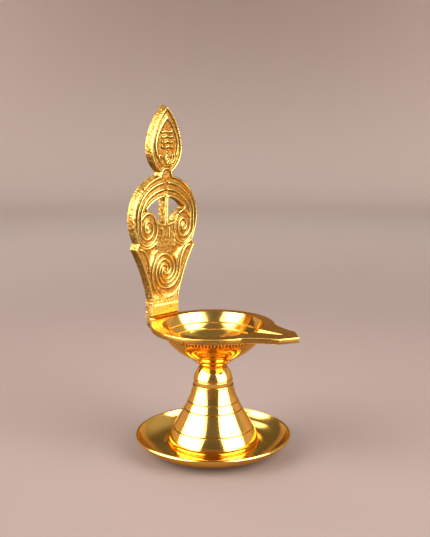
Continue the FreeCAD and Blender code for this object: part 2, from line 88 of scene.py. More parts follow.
class SaucerSizes(bpy.types.PropertyGroup):
    radius: length("Radius", "Outer radius of the rim", SAUCER_BOX[1].x)
    height: length("Height", "Height of the rim", SAUCER_BOX[1].z)
    wall: length("Wall", "Thickness of the floor", 1.6 * MM)
    bead: length("Rim bead", "Radius of the rounded rim", 0.7 * MM)
    floor_top: length("Floor", "Height of the floor's upper side", PEDESTAL_BOX[0].z)
    floor_radius: length("Floor radius", "Where the floor starts to rise", 19.4 * MM)
    foot_radius: length("Foot ring", "Outer radius of the foot ring", 21.0 * MM)
    foot_width: length("Foot ring width", "Width of the foot ring", 1.8 * MM)
    well_radius: length("Well", "Radius of the well under the floor", 6.2 * MM)
    well_ceiling: length("Well ceiling", "Height of the well's ceiling", 5.0 * MM)


class PedestalSizes(bpy.types.PropertyGroup):
    radius: length("Radius", "Radius of the foot", PEDESTAL_BOX[1].x)
    edge: length("Edge", "Height of the foot's upright edge", 2.0 * MM)
    bell: length("Bell", "Height of the bell", 23.4 * MM)
    neck: length("Neck", "Radius at the top of the bell", 8.3 * MM)
    band: length("Band", "Height of the band over the bell", 2.3 * MM)
    band_radius: length("Band radius", "Radius of the band", 8.0 * MM)
    shoulder: length("Shoulder", "Height of the shoulder", 4.9 * MM)
    top_radius: length("Top", "Radius of the top", 5.8 * MM)
    wall: length("Wall", "Wall of the hollow bell", 1.9 * MM)
    boss: length("Boss", "Depth of the threaded boss", 15.0 * MM)


class BowlSizes(bpy.types.PropertyGroup):
    outer: length("Outer sphere", "Radius of the outer sphere", 23.6 * MM)
    wall: length("Wall", "Thickness of the wall", 1.6 * MM)
    lift: length("Lift", "Height of the sphere's lowest point over the foot", 2.3 * MM)
    floor: length("Floor", "Thickness of the floor", 5.6 * MM)
    foot_radius: length("Foot", "Radius of the foot", 5.4 * MM)
    foot: length("Foot height", "Height of the foot", 0.4 * MM)
    cove_radius: length("Cove", "Radius over the foot's cove", 6.0 * MM)
    cove: length("Cove height", "Height of the cove", 1.1 * MM)
    neck: length("Neck", "Radius where the sphere starts", 9.6 * MM)
    rim: length("Rim", "Outer radius of the flat rim", 25.1 * MM)
    rim_thickness: length("Rim thickness", "Thickness of the rim and the lip", 2.2 * MM)
    lip_root: angle("Lip root", "Angle at which the lip leaves the rim", 32)
    nose: length("Nose", "Length of the lip's pointed nose", 5.2 * MM)
    nose_half: length("Nose half width", "Half width behind the nose", 6.8 * MM)
    flank_hollow: length("Flank hollow", "Depth of the lip's hollow flanks", 0.7 * MM)
    channel: length("Channel", "Half width of the wick channel at the bowl", 2.4 * MM)
    channel_depth: length("Channel depth", "Depth at the bowl", 1.1 * MM)
    channel_run: length("Channel run", "Length of the wick channel", 13.5 * MM)
    bead: length("Bead", "Half width of one bead under the rim", 0.38 * MM)
    bead_height: length("Bead height", "Height of the beaded band", 2.5 * MM)
    bead_pitch: length("Bead pitch", "Distance from bead to bead", 1.35 * MM)
    lug: length("Lug", "Depth of the lug that carries the plate", 4.6 * MM)


class PlateSizes(bpy.types.PropertyGroup):
    thickness: length("Thickness", "Thickness of the plate", 3.8 * MM)
    relief: length("Relief", "Height of the ridges", 0.7 * MM)
    draft: length("Draft", "How much the back outline is larger", 0.4 * MM)
    opening_draft: length("Opening draft", "The same in the openings", 0.12 * MM)
    radius: length("Place", "Distance of the front from the axis", 23.8 * MM)
    across: length("Across", "Sideways place", 0.5 * MM)
    twist: angle("Twist", "Turn about the upright", -13)
    lean: angle("Lean", "Lean to the right", 1.45)
    seat: length("Seat", "How far the heel lies behind the front", 1.4 * MM)
    grid: length("Grid", "Distance between the points of its surface", 0.16 * MM)
    ridge: length("Ridge", "Half width of a ridge at its foot", 0.92 * MM)
    border: length("Border", "Width of the border", 1.2 * MM)
    edge: length("Edge", "Rounding of its front edge", 0.3 * MM)


class BrassFinish(bpy.types.PropertyGroup):
    polished: colour("Polished brass", "Colour of the turned pieces", (0.86, 0.495, 0.105))
    cast: colour("Cast brass", "Colour of the plate's polished ridges", (0.48, 0.335, 0.09))
    screw: colour("Screw brass", "Colour of the screws", (0.78, 0.50, 0.15))
    tarnish_and_shade: colour("Tarnish", "Colour in the hollows", (0.19, 0.08, 0.01))
    groove: colour("Groove", "Colour of the grooves in the plate", (0.17, 0.06, 0.006))
    roughness: share("Roughness", "Roughness of the turned pieces", 0.075)
    cast_roughness: share("Cast roughness", "Roughness of the cast plate", 0.16)


class StudioSetup(bpy.types.PropertyGroup):
    floor: colour("Floor", "Colour of the floor under the lights", (0.16, 0.116, 0.099))
    backdrop: colour("Backdrop colour", "Colour of the backdrop", (0.72, 0.57, 0.50))
    floor_radius: length("Floor radius", "Radius of the floor", 1.1)
    wall: length("Backdrop", "Height of the backdrop", 0.36)
    key: bpy.props.FloatProperty(name="Softboxes", default=4.0,
                                 description="Brightness of the two softboxes")
    fill: bpy.props.FloatProperty(name="Overhead", default=1.2,
                                  description="Brightness of the lights overhead and behind")
    sky: share("Sky", "Brightness of the room above the backdrop", 0.1)
    window: share("Side light", "Brightness of the room to the right behind the plate", 0.35)
    camera: bpy.props.FloatVectorProperty(name="Camera", description="Place of the camera",
                                          subtype="TRANSLATION", unit="LENGTH",
                                          default=(-0.3171, -0.2036, 0.1501))
    heading: angle("Heading", "Turn of the camera about the upright", -57.413)
    pitch: angle("Pitch", "How far the camera looks down", 11.09)
    lens: bpy.props.FloatProperty(name="Lens", description="Focal length in millimetres",
                                  default=64.36)


GROUPS = {
    "lamp_saucer": SaucerSizes,
    "lamp_pedestal": PedestalSizes,
    "lamp_bowl": BowlSizes,
    "lamp_plate": PlateSizes,
    "lamp_brass": BrassFinish,
    "lamp_studio": StudioSetup,
}


# Outlines

RING_COLUMNS = 256
ARC_STEPS = 24
FINE_STEPS = 40
LEAST_STEP = 1e-7
LEAST_LENGTH = 1e-12
SHARP_TURN = math.radians(20)
SHARP_EDGE = math.radians(38)
FILLET_STEPS = 5
FILLET_ROOM = 0.49
GROOVE_POINTS = 13


def bulged(start, end, bulge_share, steps=ARC_STEPS):
    """Arc whose middle bulges to the right of its direction by a share of its chord."""
    start, end = np.array(start, float), np.array(end, float)
    chord = math.dist(start, end)
    along = (end - start) / chord
    out = np.array([along[1], -along[0]]) * math.copysign(1, bulge_share)
    sag = abs(bulge_share) * chord
    radius = (chord ** 2 / 4 + sag ** 2) / (2 * sag)
    half = 2 * math.atan(2 * sag / chord)
    turns = np.linspace(-half, half, steps)[:, None]
    centre = (start + end) / 2 + out * (sag - radius)
    return centre + radius * (out * np.cos(turns) + along * np.sin(turns))


def rounded(centre, radius, start, end, steps=ARC_STEPS):
    """Arc about a centre between two angles, counted upwards from straight right."""
    turns = np.linspace(start, end, steps)
    return np.array(centre) + radius * np.column_stack([np.cos(turns), np.sin(turns)])


def arc_through(start, middle, end, steps):
    """Arc through three points."""
    start, middle, end = (np.array(point, float) for point in (start, middle, end))
    rows = 2 * np.array([middle - start, end - start])
    centre = np.linalg.solve(rows, [middle @ middle - start @ start, end @ end - start @ start])
    radius = math.dist(centre, start)
    turns = np.unwrap([math.atan2(*(point - centre)[::-1]) for point in (start, middle, end)])
    return rounded(centre, radius, turns[0], turns[2], steps)


def runs(outline):
    """Distance along an outline at each of its points."""
    steps = np.linalg.norm(np.diff(outline, axis=0), axis=1)
    return np.concatenate([[0], np.cumsum(steps)])


def joined(*parts):
    """One outline from points and arcs, without doubled points."""
    points = np.vstack([np.atleast_2d(np.array(part, float)) for part in parts])
    kept = np.concatenate([[True], np.linalg.norm(np.diff(points, axis=0), axis=1) > LEAST_STEP])
    return points[kept]


def softened(outline, radius):
    """Outline whose sharp corners are rounded."""
    run = runs(outline)
    headings = np.diff(outline, axis=0)
    headings /= np.linalg.norm(headings, axis=1)[:, None]
    turns = np.arccos(np.clip((headings[:-1] * headings[1:]).sum(axis=1), -1, 1))
    corners = [i + 1 for i, turn in enumerate(turns) if turn > SHARP_TURN]
    stops = [0, *[run[i] for i in corners], run[-1]]
    made, reached = [], 0
    for number, i in enumerate(corners):
        room = FILLET_ROOM * min(np.diff(stops[number:number + 3]))
        reach = min(radius * math.tan(turns[i - 1] / 2), room)
        made.append(outline[(run >= reached) & (run < run[i] - reach)])
        ends = [[np.interp(stop, run, outline[:, axis]) for axis in (0, 1)]
                for stop in (run[i] - reach, run[i] + reach)]
        bend = np.linspace(0, 1, FILLET_STEPS)[:, None]
        made.append((1 - bend) ** 2 * ends[0] + 2 * bend * (1 - bend) * outline[i]
                    + bend ** 2 * ends[1])
        reached = run[i] + reach
    made.append(outline[run > reached])
    return np.vstack(made)


def crest(away, half_width):
    """Rounded crest that falls from 1 to 0 over its half width."""
    return np.cos(np.clip(away / half_width, 0, 1) * math.pi / 2) ** 2


def engraved(outline, places, half_width, depth):
    """Outline with a groove at each place, and how deep each of its points lies in one."""
    run = runs(outline)
    centres = [run[np.linalg.norm(outline - np.array(place), axis=1).argmin()] for place in places]
    reach = np.linspace(-half_width, half_width, GROOVE_POINTS)
    stops = [run] + [centre + reach for centre in centres]
    stops = np.unique(np.round(np.concatenate(stops), 8))
    stops = stops[(stops >= 0) & (stops <= run[-1])]
    points = np.column_stack([np.interp(stops, run, outline[:, axis]) for axis in (0, 1)])
    tangents = np.gradient(points, axis=0)
    tangents /= np.linalg.norm(tangents, axis=1)[:, None] + LEAST_LENGTH
    inward = np.column_stack([-tangents[:, 1], tangents[:, 0]])
    hollow = np.max([crest(np.abs(stops - centre), half_width) for centre in centres], axis=0)
    return points + inward * (hollow * depth)[:, None], hollow


# Meshes

def new_piece(name, points, faces, hollow=None):
    """Mesh object with smooth faces, sharp edges where it turns hard, and its hollows marked."""
    mesh = bpy.data.meshes.new(name)
    mesh.from_pydata(np.asarray(points).tolist(), [], faces)
    mesh.validate()
    if hollow is not None:
        layer = mesh.attributes.new("hollow", "FLOAT", "POINT")
        layer.data.foreach_set("value", np.asarray(hollow, np.float32))
    mesh.shade_smooth()
    mesh.set_sharp_from_angle(angle=SHARP_EDGE)
    piece = bpy.data.objects.new(name, mesh)
    bpy.context.scene.collection.objects.link(piece)
    return piece


def ring_faces(rings, closed=False):
    """Faces between neighbouring rings of point numbers, where one point is a pole."""
    faces = []
    pairs = list(zip(rings, rings[1:]))
    if closed:
        pairs.append((rings[-1], rings[0]))
    for low, high in pairs:
        if len(low) == 1:
            corners = (np.full(len(high), low[0]), np.roll(high, -1), high)
        elif len(high) == 1:
            corners = (low, np.roll(low, -1), np.full(len(low), high[0]))
        else:
            corners = (low, np.roll(low, -1), np.roll(high, -1), high)
        faces += np.column_stack(corners).tolist()
    return faces


def numbered(rings):
    """Point numbers of each ring, counted through."""
    ends = np.cumsum([0] + [len(ring) for ring in rings])
    return [np.arange(low, high) for low, high in zip(ends, ends[1:])]


def ring(radius, height, turns):
    """Ring of points; its radius and its height may differ from turn to turn."""
    heights = np.full(len(turns), height, float)
    return np.column_stack([radius * np.cos(turns), radius * np.sin(turns), heights])


def pole(height):
    """Ring of a single point on the axis."""
    return np.array([[0, 0, height]])


def full_turn(columns):
    return np.linspace(0, 2 * math.pi, columns, endpoint=False)


def shifted(faces, start):
    """Faces whose points are numbered from start on."""
    return [[number + start for number in face] for face in faces]


def turned_piece(name, outline, hollow, closed=False):
    """Piece turned about the lamp's axis; its outline runs with the metal on its left."""
    rings = [ring(radius, height, full_turn(RING_COLUMNS)) for radius, height in outline]
    return new_piece(name, np.vstack(rings), ring_faces(numbered(rings), closed),
                     np.repeat(hollow, RING_COLUMNS))


# Saucer and pedestal

STUD_RADIUS = STUD_BOX[1].x
HOLE_RADIUS = STUD_RADIUS + 0.05 * MM
CORNER_WEAR = 0.12 * MM
LINE_HALF_WIDTH = 0.32 * MM
LINE_DEPTH = 0.24 * MM
BEAD_END = math.radians(135)
SAUCER_OUTSIDE_SHARE = 0.12
SAUCER_INSIDE_SHARE = 0.16
SHOULDER_BULGE_SHARE = 0.07
BELL_SWELL = 0.85
BELL_WAVE_SHARE = 0.65
BELL_STEPS = 60
BELL_LINE_SHARES = (0.245, 0.575, 0.72)


def make_drip_saucer(sizes):
    under = sizes.floor_top - sizes.wall
    bead = rounded((sizes.radius - sizes.bead, sizes.height - sizes.bead), sizes.bead,
                   -math.pi / 2, BEAD_END)
    ring_inner = sizes.foot_radius - sizes.foot_width
    well_outer = sizes.well_radius + sizes.wall
    well_top = sizes.well_ceiling + sizes.wall
    floor_edge = (sizes.floor_radius, sizes.floor_top)
    outline = joined(
        (HOLE_RADIUS, (sizes.well_ceiling + well_top) / 2),
        (HOLE_RADIUS, sizes.well_ceiling),
        (sizes.well_radius, sizes.well_ceiling),
        (sizes.well_radius, under),
        (ring_inner, under),
        (ring_inner, 0),
        (sizes.foot_radius, 0),
        bulged((sizes.foot_radius, under), bead[0], SAUCER_OUTSIDE_SHARE, FINE_STEPS),
        bead,
        bulged(floor_edge, bead[-1], SAUCER_INSIDE_SHARE, FINE_STEPS)[::-1],
        (well_outer, sizes.floor_top),
        (well_outer, well_top),
        (HOLE_RADIUS, well_top),
    )
    outline = softened(outline, 2 * CORNER_WEAR)
    return turned_piece("drip_saucer_turned", outline, np.zeros(len(outline)), closed=True)


def bell_radius(sizes, height_share):
    """Radius of the bell: a half wave, leant towards a cone."""
    wave = (1 + np.cos(math.pi * height_share ** BELL_SWELL)) / 2
    fullness = BELL_WAVE_SHARE * wave + (1 - BELL_WAVE_SHARE) * (1 - height_share)
    return sizes.neck + (sizes.radius - sizes.neck) * fullness


def make_pedestal(sizes):
    base = PEDESTAL_BOX[0].z
    top = PEDESTAL_BOX[1].z
    ledge = base + sizes.edge
    band_low = ledge + sizes.bell
    band_high = band_low + sizes.band
    boss_share = 1 - (sizes.boss - sizes.band - sizes.shoulder) / sizes.bell
    shares = np.linspace(0, 1, BELL_STEPS)
    bell = np.column_stack([bell_radius(sizes, shares), ledge + sizes.bell * shares])
    inner_shares = np.linspace(boss_share, 0, BELL_STEPS // 2)
    inner = np.column_stack([bell_radius(sizes, inner_shares) - sizes.wall,
                             ledge + sizes.bell * inner_shares])
    outside = joined(
        (inner[-1][0], base),
        (sizes.radius, base),
        bell,
        (sizes.band_radius, band_low),
        bulged((sizes.band_radius, band_high), (sizes.top_radius, top), SHOULDER_BULGE_SHARE),
        (HOLE_RADIUS, top),
        (HOLE_RADIUS, inner[0][1]),
        inner,
    )
    places = [(bell_radius(sizes, s), ledge + sizes.bell * s) for s in BELL_LINE_SHARES]
    places += [(sizes.band_radius, band_low), (sizes.band_radius, band_high)]
    outline, hollow = engraved(softened(outside, CORNER_WEAR), places, LINE_HALF_WIDTH, LINE_DEPTH)
    return turned_piece("pedestal_turned", outline, hollow, closed=True)


# Bowl: shares, rows and columns of its surface, and how dark its hollows are

BOWL_LINE_DEPTHS = (4.0 * MM, 6.5 * MM)
CHANNEL_MARGIN = 3.0 * MM
RIM_EDGE = 0.3 * MM
# The rim's upright side is marked darker and rougher, fading over its rounded edges: painted shade in
# its colour, wear in its roughness
RIM_SIDE_SHADE_AND_WEAR = 0.9
RIM_SIDE_SHADE_POWER = 8
LUG_NOTCH_GAP = 0.2 * MM
FOOT_HALF_WIDTH = 7.7 * MM
NECK_BULGE_SHARE = 0.05
LIP_COLUMNS = 181
CHANNEL_COLUMNS = 91
NOSE_STEPS = 14
INSIDE_ROWS = 64
INSIDE_START = 1.02
OUTSIDE_ROWS = 60
TOP_ROWS = 46
TOP_SPACING = 1.25
SLANT_LIMIT = 2.5
LIP_MARGIN = 1.08
CHANNEL_REACH = math.radians(9)
CHANNEL_ROUNDING = 0.003
# Painted shade in the wick channel: how dark it gets, and the depth at which it is full
CHANNEL_SHADE = 0.5
CHANNEL_SHADE_DEPTH = 0.15 * MM
LUG_STEP = math.radians(0.03)
LEAST_GAP = math.radians(0.05)
FLOOR_SHARES = (0.2, 0.4, 0.6, 0.8, 0.9, 0.96)
# Places of the underside's rows between the rim's edge and the wall; each share is also the row's
# painted shade, darker towards the wall
UNDERSIDE_SHARES = (0.35, 0.7, 0.93)
# Painted shade at the top of the outside wall, under the rim and behind the beads, fading out between
# the two band shares
BAND_SHADE = 1.4
BAND_SHARES = (0.17, 0.2)
HOLE_SHARE = 0.75


def sphere_radius(sizes, radius, height):
    """Radius at which a sphere about the bowl's centre cuts a level."""
    centre = PEDESTAL_BOX[1].z + sizes.lift + sizes.outer
    return np.sqrt(radius ** 2 - (centre - height) ** 2)


def plate_axes(plate):
    """Foot of the plate, and its directions to the right and to the back."""
    right = np.array([math.cos(plate.twist), math.sin(plate.twist)])
    back = np.array([-math.sin(plate.twist), math.cos(plate.twist)])
    return np.array([plate.across, plate.radius]), right, back


def bowl_columns(sizes, lug_ends):
    """Angles of the bowl's columns, counted from the lip, closer round the lip and the lug."""
    nose = math.atan2(sizes.nose_half, -BOWL_BOX[0].y - sizes.nose)
    even = np.linspace(-math.pi, math.pi, RING_COLUMNS, endpoint=False)
    lip = LIP_MARGIN * sizes.lip_root * np.linspace(-1, 1, LIP_COLUMNS)
    channel = CHANNEL_REACH * np.linspace(-1, 1, CHANNEL_COLUMNS)
    corners = [side * turn for side in (-1, 1) for turn in (nose, sizes.lip_root)]
    corners += [end + step for end in lug_ends for step in (-LUG_STEP, LUG_STEP)]
    turns = np.unique(np.concatenate([even, lip, channel, corners]))
    gaps = np.diff(turns, append=turns[0] + 2 * math.pi)
    return turns[gaps > LEAST_GAP]


def lip_reach(sizes, turns):
    """Distance from the axis to the outline of rim and lip at each angle from the lip."""
    tip = -BOWL_BOX[0].y
    corner = (sizes.nose_half, tip - sizes.nose)
    root = (sizes.rim * math.sin(sizes.lip_root), sizes.rim * math.cos(sizes.lip_root))
    hollow_share = -sizes.flank_hollow / math.dist(root, corner)
    flank = bulged(corner, root, -hollow_share, FINE_STEPS)
    nose = np.linspace((0, tip), corner, NOSE_STEPS)
    outline = joined(nose, flank)
    places = np.arctan2(outline[:, 0], outline[:, 1])
    reach = np.hypot(outline[:, 0], outline[:, 1])
    side = np.abs(turns)
    return np.where(side < sizes.lip_root, np.interp(side, places, reach), sizes.rim)


def lug_reach(plate, turns):
    """Distance from the axis to the flat face or the sides of the lug at each angle."""
    foot, right, back = plate_axes(plate)
    rays = np.column_stack([np.sin(turns), -np.cos(turns)])
    face = (foot @ back + plate.seat) / (rays @ back)
    across = foot @ right
    left_side = (across - FOOT_HALF_WIDTH) / (rays @ right)
    return np.where(rays @ right < 0, np.minimum(face, left_side), face)


def lug_ends(plate):
    """Angles between which the lug lies, from its notch to its far side at the rim."""
    foot, right, back = plate_axes(plate)
    near = foot + (FOOT_HALF_WIDTH + LUG_NOTCH_GAP) * right + plate.seat * back
    far = foot - FOOT_HALF_WIDTH * right
    return [math.atan2(end[0], -end[1]) % (2 * math.pi) for end in (near, far)]


def channel_level(sizes, points, top):
    """Height of the wick channel's surface over places on the lip."""
    mouth = sphere_radius(sizes, sizes.outer - sizes.wall, top)
    out = -points[..., 1] - mouth
    bottom = top - sizes.channel_depth + out * sizes.channel_depth / sizes.channel_run
    across = np.clip(np.abs(points[..., 0]) / sizes.channel, 0, 1)
    level = bottom + sizes.channel_depth * np.sqrt(across ** 2 + CHANNEL_ROUNDING)
    open_lip = (points[..., 1] < 0) & (across < 1)
    return np.where(open_lip, level, top + sizes.channel)


def make_oil_bowl(sizes, plate):
    foot = PEDESTAL_BOX[1].z
    top = BOWL_BOX[1].z
    centre = foot + sizes.lift + sizes.outer
    inner = sizes.outer - sizes.wall
    lug_low, lug_high = lug_ends(plate)
    turns = bowl_columns(sizes, [lug_low, lug_high - 2 * math.pi])
    rays = np.column_stack([np.sin(turns), -np.cos(turns)])
    around = turns % (2 * math.pi)
    in_lug = (around > lug_low) & (around < lug_high)
    reach = np.where(in_lug, lug_reach(plate, turns), lip_reach(sizes, turns))
    under = np.where(in_lug, top - sizes.lug, top - sizes.rim_thickness)

    slope = np.gradient(reach, turns) / reach
    inset = RIM_EDGE * np.minimum(np.sqrt(1 + slope ** 2), SLANT_LIMIT)
    rows, marks = [], []

    def row(radius, height, hollow=0):
        rows.append(ring(radius, height, turns - math.pi / 2))
        marks.append(np.full(len(turns), hollow, float))

    def end(height):
        rows.append(pole(height))
        marks.append(np.zeros(1))

    # Inside, from the floor up to the mouth
    floor_top = foot + sizes.floor
    floor_edge = sphere_radius(sizes, inner, floor_top)
    end(floor_top)
    for radius_share in FLOOR_SHARES:
        row(floor_edge * radius_share, floor_top)
    low_turn = math.asin(floor_edge / inner)
    top_turn, margin_turn, *line_turns = (math.acos((centre - top + depth) / inner)
                                          for depth in (0, CHANNEL_MARGIN, *BOWL_LINE_DEPTHS))
    line_reach = LINE_HALF_WIDTH / inner
    fine = [turn + np.linspace(-line_reach, line_reach, GROOVE_POINTS) for turn in line_turns]
    steps = np.linspace(INSIDE_START * low_turn, top_turn, INSIDE_ROWS)
    steps = np.unique(np.concatenate([steps, *fine]))
    mouth_places = rays * inner * math.sin(top_turn)
    mouth_level = np.minimum(channel_level(sizes, mouth_places, top), top)
    mouth_turn = np.arccos((centre - mouth_level) / inner)
    for step in steps:
        hollow = crest(min(abs(step - turn) for turn in line_turns), line_reach)
        bent = np.full(len(turns), step)
        if step > margin_turn:
            rise = (step - margin_turn) / (top_turn - margin_turn)
            bent = margin_turn + rise * (mouth_turn - margin_turn)
        depth = inner + hollow * LINE_DEPTH
        row(depth * np.sin(bent), centre - depth * np.cos(bent), hollow)

    # Rim's top, out along the lip, with the wick channel in it; the channel is painted darker as it
    # deepens, a painted shade
    mouth = inner * np.sin(mouth_turn)
    edge = reach - inset
    for step in np.linspace(0, 1, TOP_ROWS)[1:] ** TOP_SPACING:
        radius = mouth + (edge - mouth) * step
        level = channel_level(sizes, rays * radius[:, None], top)
        row(radius, np.minimum(level, top),
            CHANNEL_SHADE * np.clip((top - level) / CHANNEL_SHADE_DEPTH, 0, 1))

    # Rounded edges, the side and the underside; the upright side gets painted shade in its colour and
    # wear in its roughness
    quarter = np.linspace(math.pi / 2, 0, FILLET_STEPS)
    for level, bends in ((top - RIM_EDGE, quarter[1:]), (under + RIM_EDGE, -quarter[::-1])):
        for turn in bends:
            row(edge + inset * math.cos(turn), level + RIM_EDGE * math.sin(turn),
                RIM_SIDE_SHADE_AND_WEAR * math.cos(turn) ** RIM_SIDE_SHADE_POWER)
    wall = sphere_radius(sizes, sizes.outer, under)
    # The rim's underside darkens towards the wall: painted shade under the rim
    for step in UNDERSIDE_SHARES:
        row(edge + (wall - edge) * step, under, step)

    # Outside, from the rim down to the foot; its top under the rim is painted darker, a painted shade
    neck_turn = math.asin(sizes.neck / sizes.outer)
    wall_turn = np.arccos((centre - under) / sizes.outer)
    for step in np.linspace(0, 1, OUTSIDE_ROWS):
        bent = wall_turn + (neck_turn - wall_turn) * step
        row(sizes.outer * np.sin(bent), centre - sizes.outer * np.cos(bent),
            BAND_SHADE * (1 - np.interp(step, BAND_SHARES, (0, 1))))
    neck_level = centre - sizes.outer * math.cos(neck_turn)
    cove_level = foot + sizes.foot + sizes.cove
    below = joined(
        bulged((sizes.cove_radius, cove_level), (sizes.neck, neck_level), NECK_BULGE_SHARE)[::-1],
        (sizes.foot_radius, foot + sizes.foot),
        (sizes.foot_radius, foot),
        (HOLE_RADIUS, foot),
        (HOLE_RADIUS, foot + sizes.floor * HOLE_SHARE),
    )
    for radius, height in softened(below, CORNER_WEAR)[1:]:
        row(radius, height)
    end(foot + sizes.floor * HOLE_SHARE)
    faces = ring_faces(numbered(rows))
    return new_piece("oil_bowl_turned", np.vstack(rows), faces, np.concatenate(marks))


BEAD_RINGS = 9
BEAD_COLUMNS = 14
BEAD_OUT_SHARE = 0.45
BEAD_SPREAD = 0.05
# Painted shade on the beads: darkest on their sides between neighbours and at their ends under the rim,
# clean on their outward crests
BEAD_GAP_SHADE = (0.9, 1.2)


def ball_mesh():
    """Unit ball with its poles up and down."""
    tilts = np.linspace(-math.pi / 2, math.pi / 2, BEAD_RINGS)[1:-1]
    rings = [ring(math.cos(tilt), math.sin(tilt), full_turn(BEAD_COLUMNS)) for tilt in tilts]
    ball = [pole(-1), *rings, pole(1)]
    return np.vstack(ball), ring_faces(numbered(ball))


def make_rim_beads(sizes, plate):
    """Row of long cast beads under the rim, upright on the bowl's wall."""
    under = BOWL_BOX[1].z - sizes.rim_thickness
    low, high = (sphere_radius(sizes, sizes.outer, height)
                 for height in (under - sizes.bead_height, under))
    level = under - sizes.bead_height / 2
    radius = (low + high) / 2 + BEAD_OUT_SHARE * sizes.bead
    lean = math.atan2(high - low, sizes.bead_height)
    number = round(2 * math.pi * radius / sizes.bead_pitch)
    ball, ball_faces = ball_mesh()
    lug_from, lug_to = lug_ends(plate)
    draw = np.random.default_rng(SEED)
    points, faces, marks = [], [], []
    for bead in range(number):
        turn = 2 * math.pi * bead / number
        size = 1 + BEAD_SPREAD * draw.standard_normal(3)
        if lug_from < turn < lug_to:
            continue
        out = np.array([math.sin(turn), -math.cos(turn), 0])
        side = np.array([math.cos(turn), math.sin(turn), 0])
        upright = math.sin(lean) * out + np.array([0, 0, math.cos(lean)])
        across = np.cross(side, upright)
        axes = np.array([side * sizes.bead * size[0], across * sizes.bead * size[1],
                         upright * sizes.bead_height / 2 * size[2] / math.cos(lean)])
        faces += shifted(ball_faces, len(ball) * len(points))
        points.append(out * radius + np.array([0, 0, level]) + ball @ axes)
        # Painted shade in the gaps between the beads and under the rim
        marks.append(np.clip(BEAD_GAP_SHADE[0] - BEAD_GAP_SHADE[1] * np.abs(ball[:, 1]), 0, 1))
    return new_piece("rim_beads", np.vstack(points), faces, np.concatenate(marks))


# Stud

THREAD_PITCH = 0.8 * MM
THREAD_DEPTH = 0.4 * MM
THREAD_COLUMNS = 72
THREAD_ROWS = 150
STUD_CHAMFER = 0.5 * MM


def make_bowl_stud():
    low, high = STUD_BOX[0].z, STUD_BOX[1].z
    turns = full_turn(THREAD_COLUMNS)
    rings = [pole(low)]
    for level in np.linspace(low, high, THREAD_ROWS):
        wave = np.abs(((level - low) / THREAD_PITCH - turns / (2 * math.pi)) % 1 * 2 - 1)
        end_gap = min(level - low, high - level)
        limit = STUD_RADIUS - max(0, STUD_CHAMFER - end_gap)
        rings.append(ring(np.minimum(STUD_RADIUS - THREAD_DEPTH * wave, limit), level, turns))
    rings.append(pole(high))
    points = np.vstack(rings)
    hollow = np.clip((STUD_RADIUS - np.hypot(points[:, 0], points[:, 1])) / THREAD_DEPTH, 0, 1)
    return new_piece("bowl_stud_threaded", points, ring_faces(numbered(rings)), hollow)


# Plate, in its own plan: across to the right and up from its foot

TINY = 1e-9
ARCH_STEPS = 60
SPIRAL_STEPS = 80
FLOW_STEPS = 8
BROW_STEPS = 30
BAR_STEPS = 20
CORNER_STEPS = 14

# Outline of the right half
FOOT_LEVEL = 8.0 * MM
WING = np.array((16.4, 29.0)) * MM
NOTCH = np.array((15.2, 31.4)) * MM
HEAD = np.array((17.7, 41.5)) * MM
HEAD_RISE = 17.5 * MM
NECK = np.array((3.3, 59.8)) * MM
FLAME = np.array((8.4, 71.8)) * MM
FLANK_HOLLOW_SHARE = 0.04
CHEEK_BULGE_SHARE = 0.06
FLAME_BASE_SHARE = 0.15
FLAME_TIP_SHARE = 0.085
ARCH_MIDDLE = math.radians(50)

# Arches and volutes; angles of an ellipse are in degrees from its top
BORDER_HALF = 0.6 * MM
RIDGE_PITCH = 2.75 * MM
RIDGE_SIDE_PITCH = 1.85 * MM
ARCH_START = 3
ARCH_ENDS = (90, 90, 56)
VOLUTE = np.array((9.65, 37.4)) * MM
VOLUTE_RADIUS = HEAD[0] - BORDER_HALF - RIDGE_SIDE_PITCH - VOLUTE[0]
VOLUTE_TURNS = (0, 0.88)
VOLUTE_INNER_TURNS = (0, 1.45)
VOLUTE_STRETCH = 1.33
VOLUTE_SHRINK = 1.3 * MM
VOLUTE_INNER_SHRINK = 2.0 * MM
VOLUTE_RIM_GAP = 0.4 * MM
KNOB_RADIUS = 1.0 * MM
SPOT_POWER = 4

# Openings and the post between them
OPENING_BASE = 38.8 * MM
OPENING_TOP = 49.64 * MM
OPENING_CORNER = np.array((10.0, 45.26)) * MM
OPENING_ARCH_SHARE = -0.1
OPENING_RIM = (-5, -70)
POST_HALF = 1.15 * MM
POST_MIDDLE = 44.2 * MM
POST_RISE = 6.4 * MM
POST_LEVEL = 0.75
POST_POWER = 8

# Coil of three arms over the foot, the collars beside it and the panel over it
COIL = np.array((0, 19.5)) * MM
COIL_RADII = (9.9 * MM, 7.9 * MM, 6.1 * MM)
COIL_TURNS = ((0.05, 1.6), (0, 1.3), (-0.12, 1.0))
COIL_SHRINK = 5.4 * MM
COIL_STRETCH = 1.15
COIL_BELLY = 1.36
COLLAR_FOOT = 8.6 * MM
COLLAR_TOP = 13.4 * MM
WING_PADS = (((-8.7, 21.5), (-8.1, 27.6), (-3.6, 28.4), (-6.2, 26.0)),
             ((4.4, 25.4), (5.8, 22.4), (7.3, 25.6), (10.2, 28.9), (5.8, 27.6)))
WING_PAD_EDGE = 0.1 * MM
WING_PAD_TILT = np.array((0.3, -0.22)) / MM
WING_PAD_LEVEL = 0.65
WING_PAD_TOP = 1.1
PANEL = np.array(((-4.8, 29), (4.8, 38.6))) * MM
PANEL_HALF = PANEL[1, 0]
PANEL_LEVEL = 0.2
BROW_LEVEL = 29.2 * MM
STROKE_OFFSETS = (-1.8 * MM, 1.8 * MM)
STROKE_LEVELS = (32.9 * MM, 36.7 * MM)

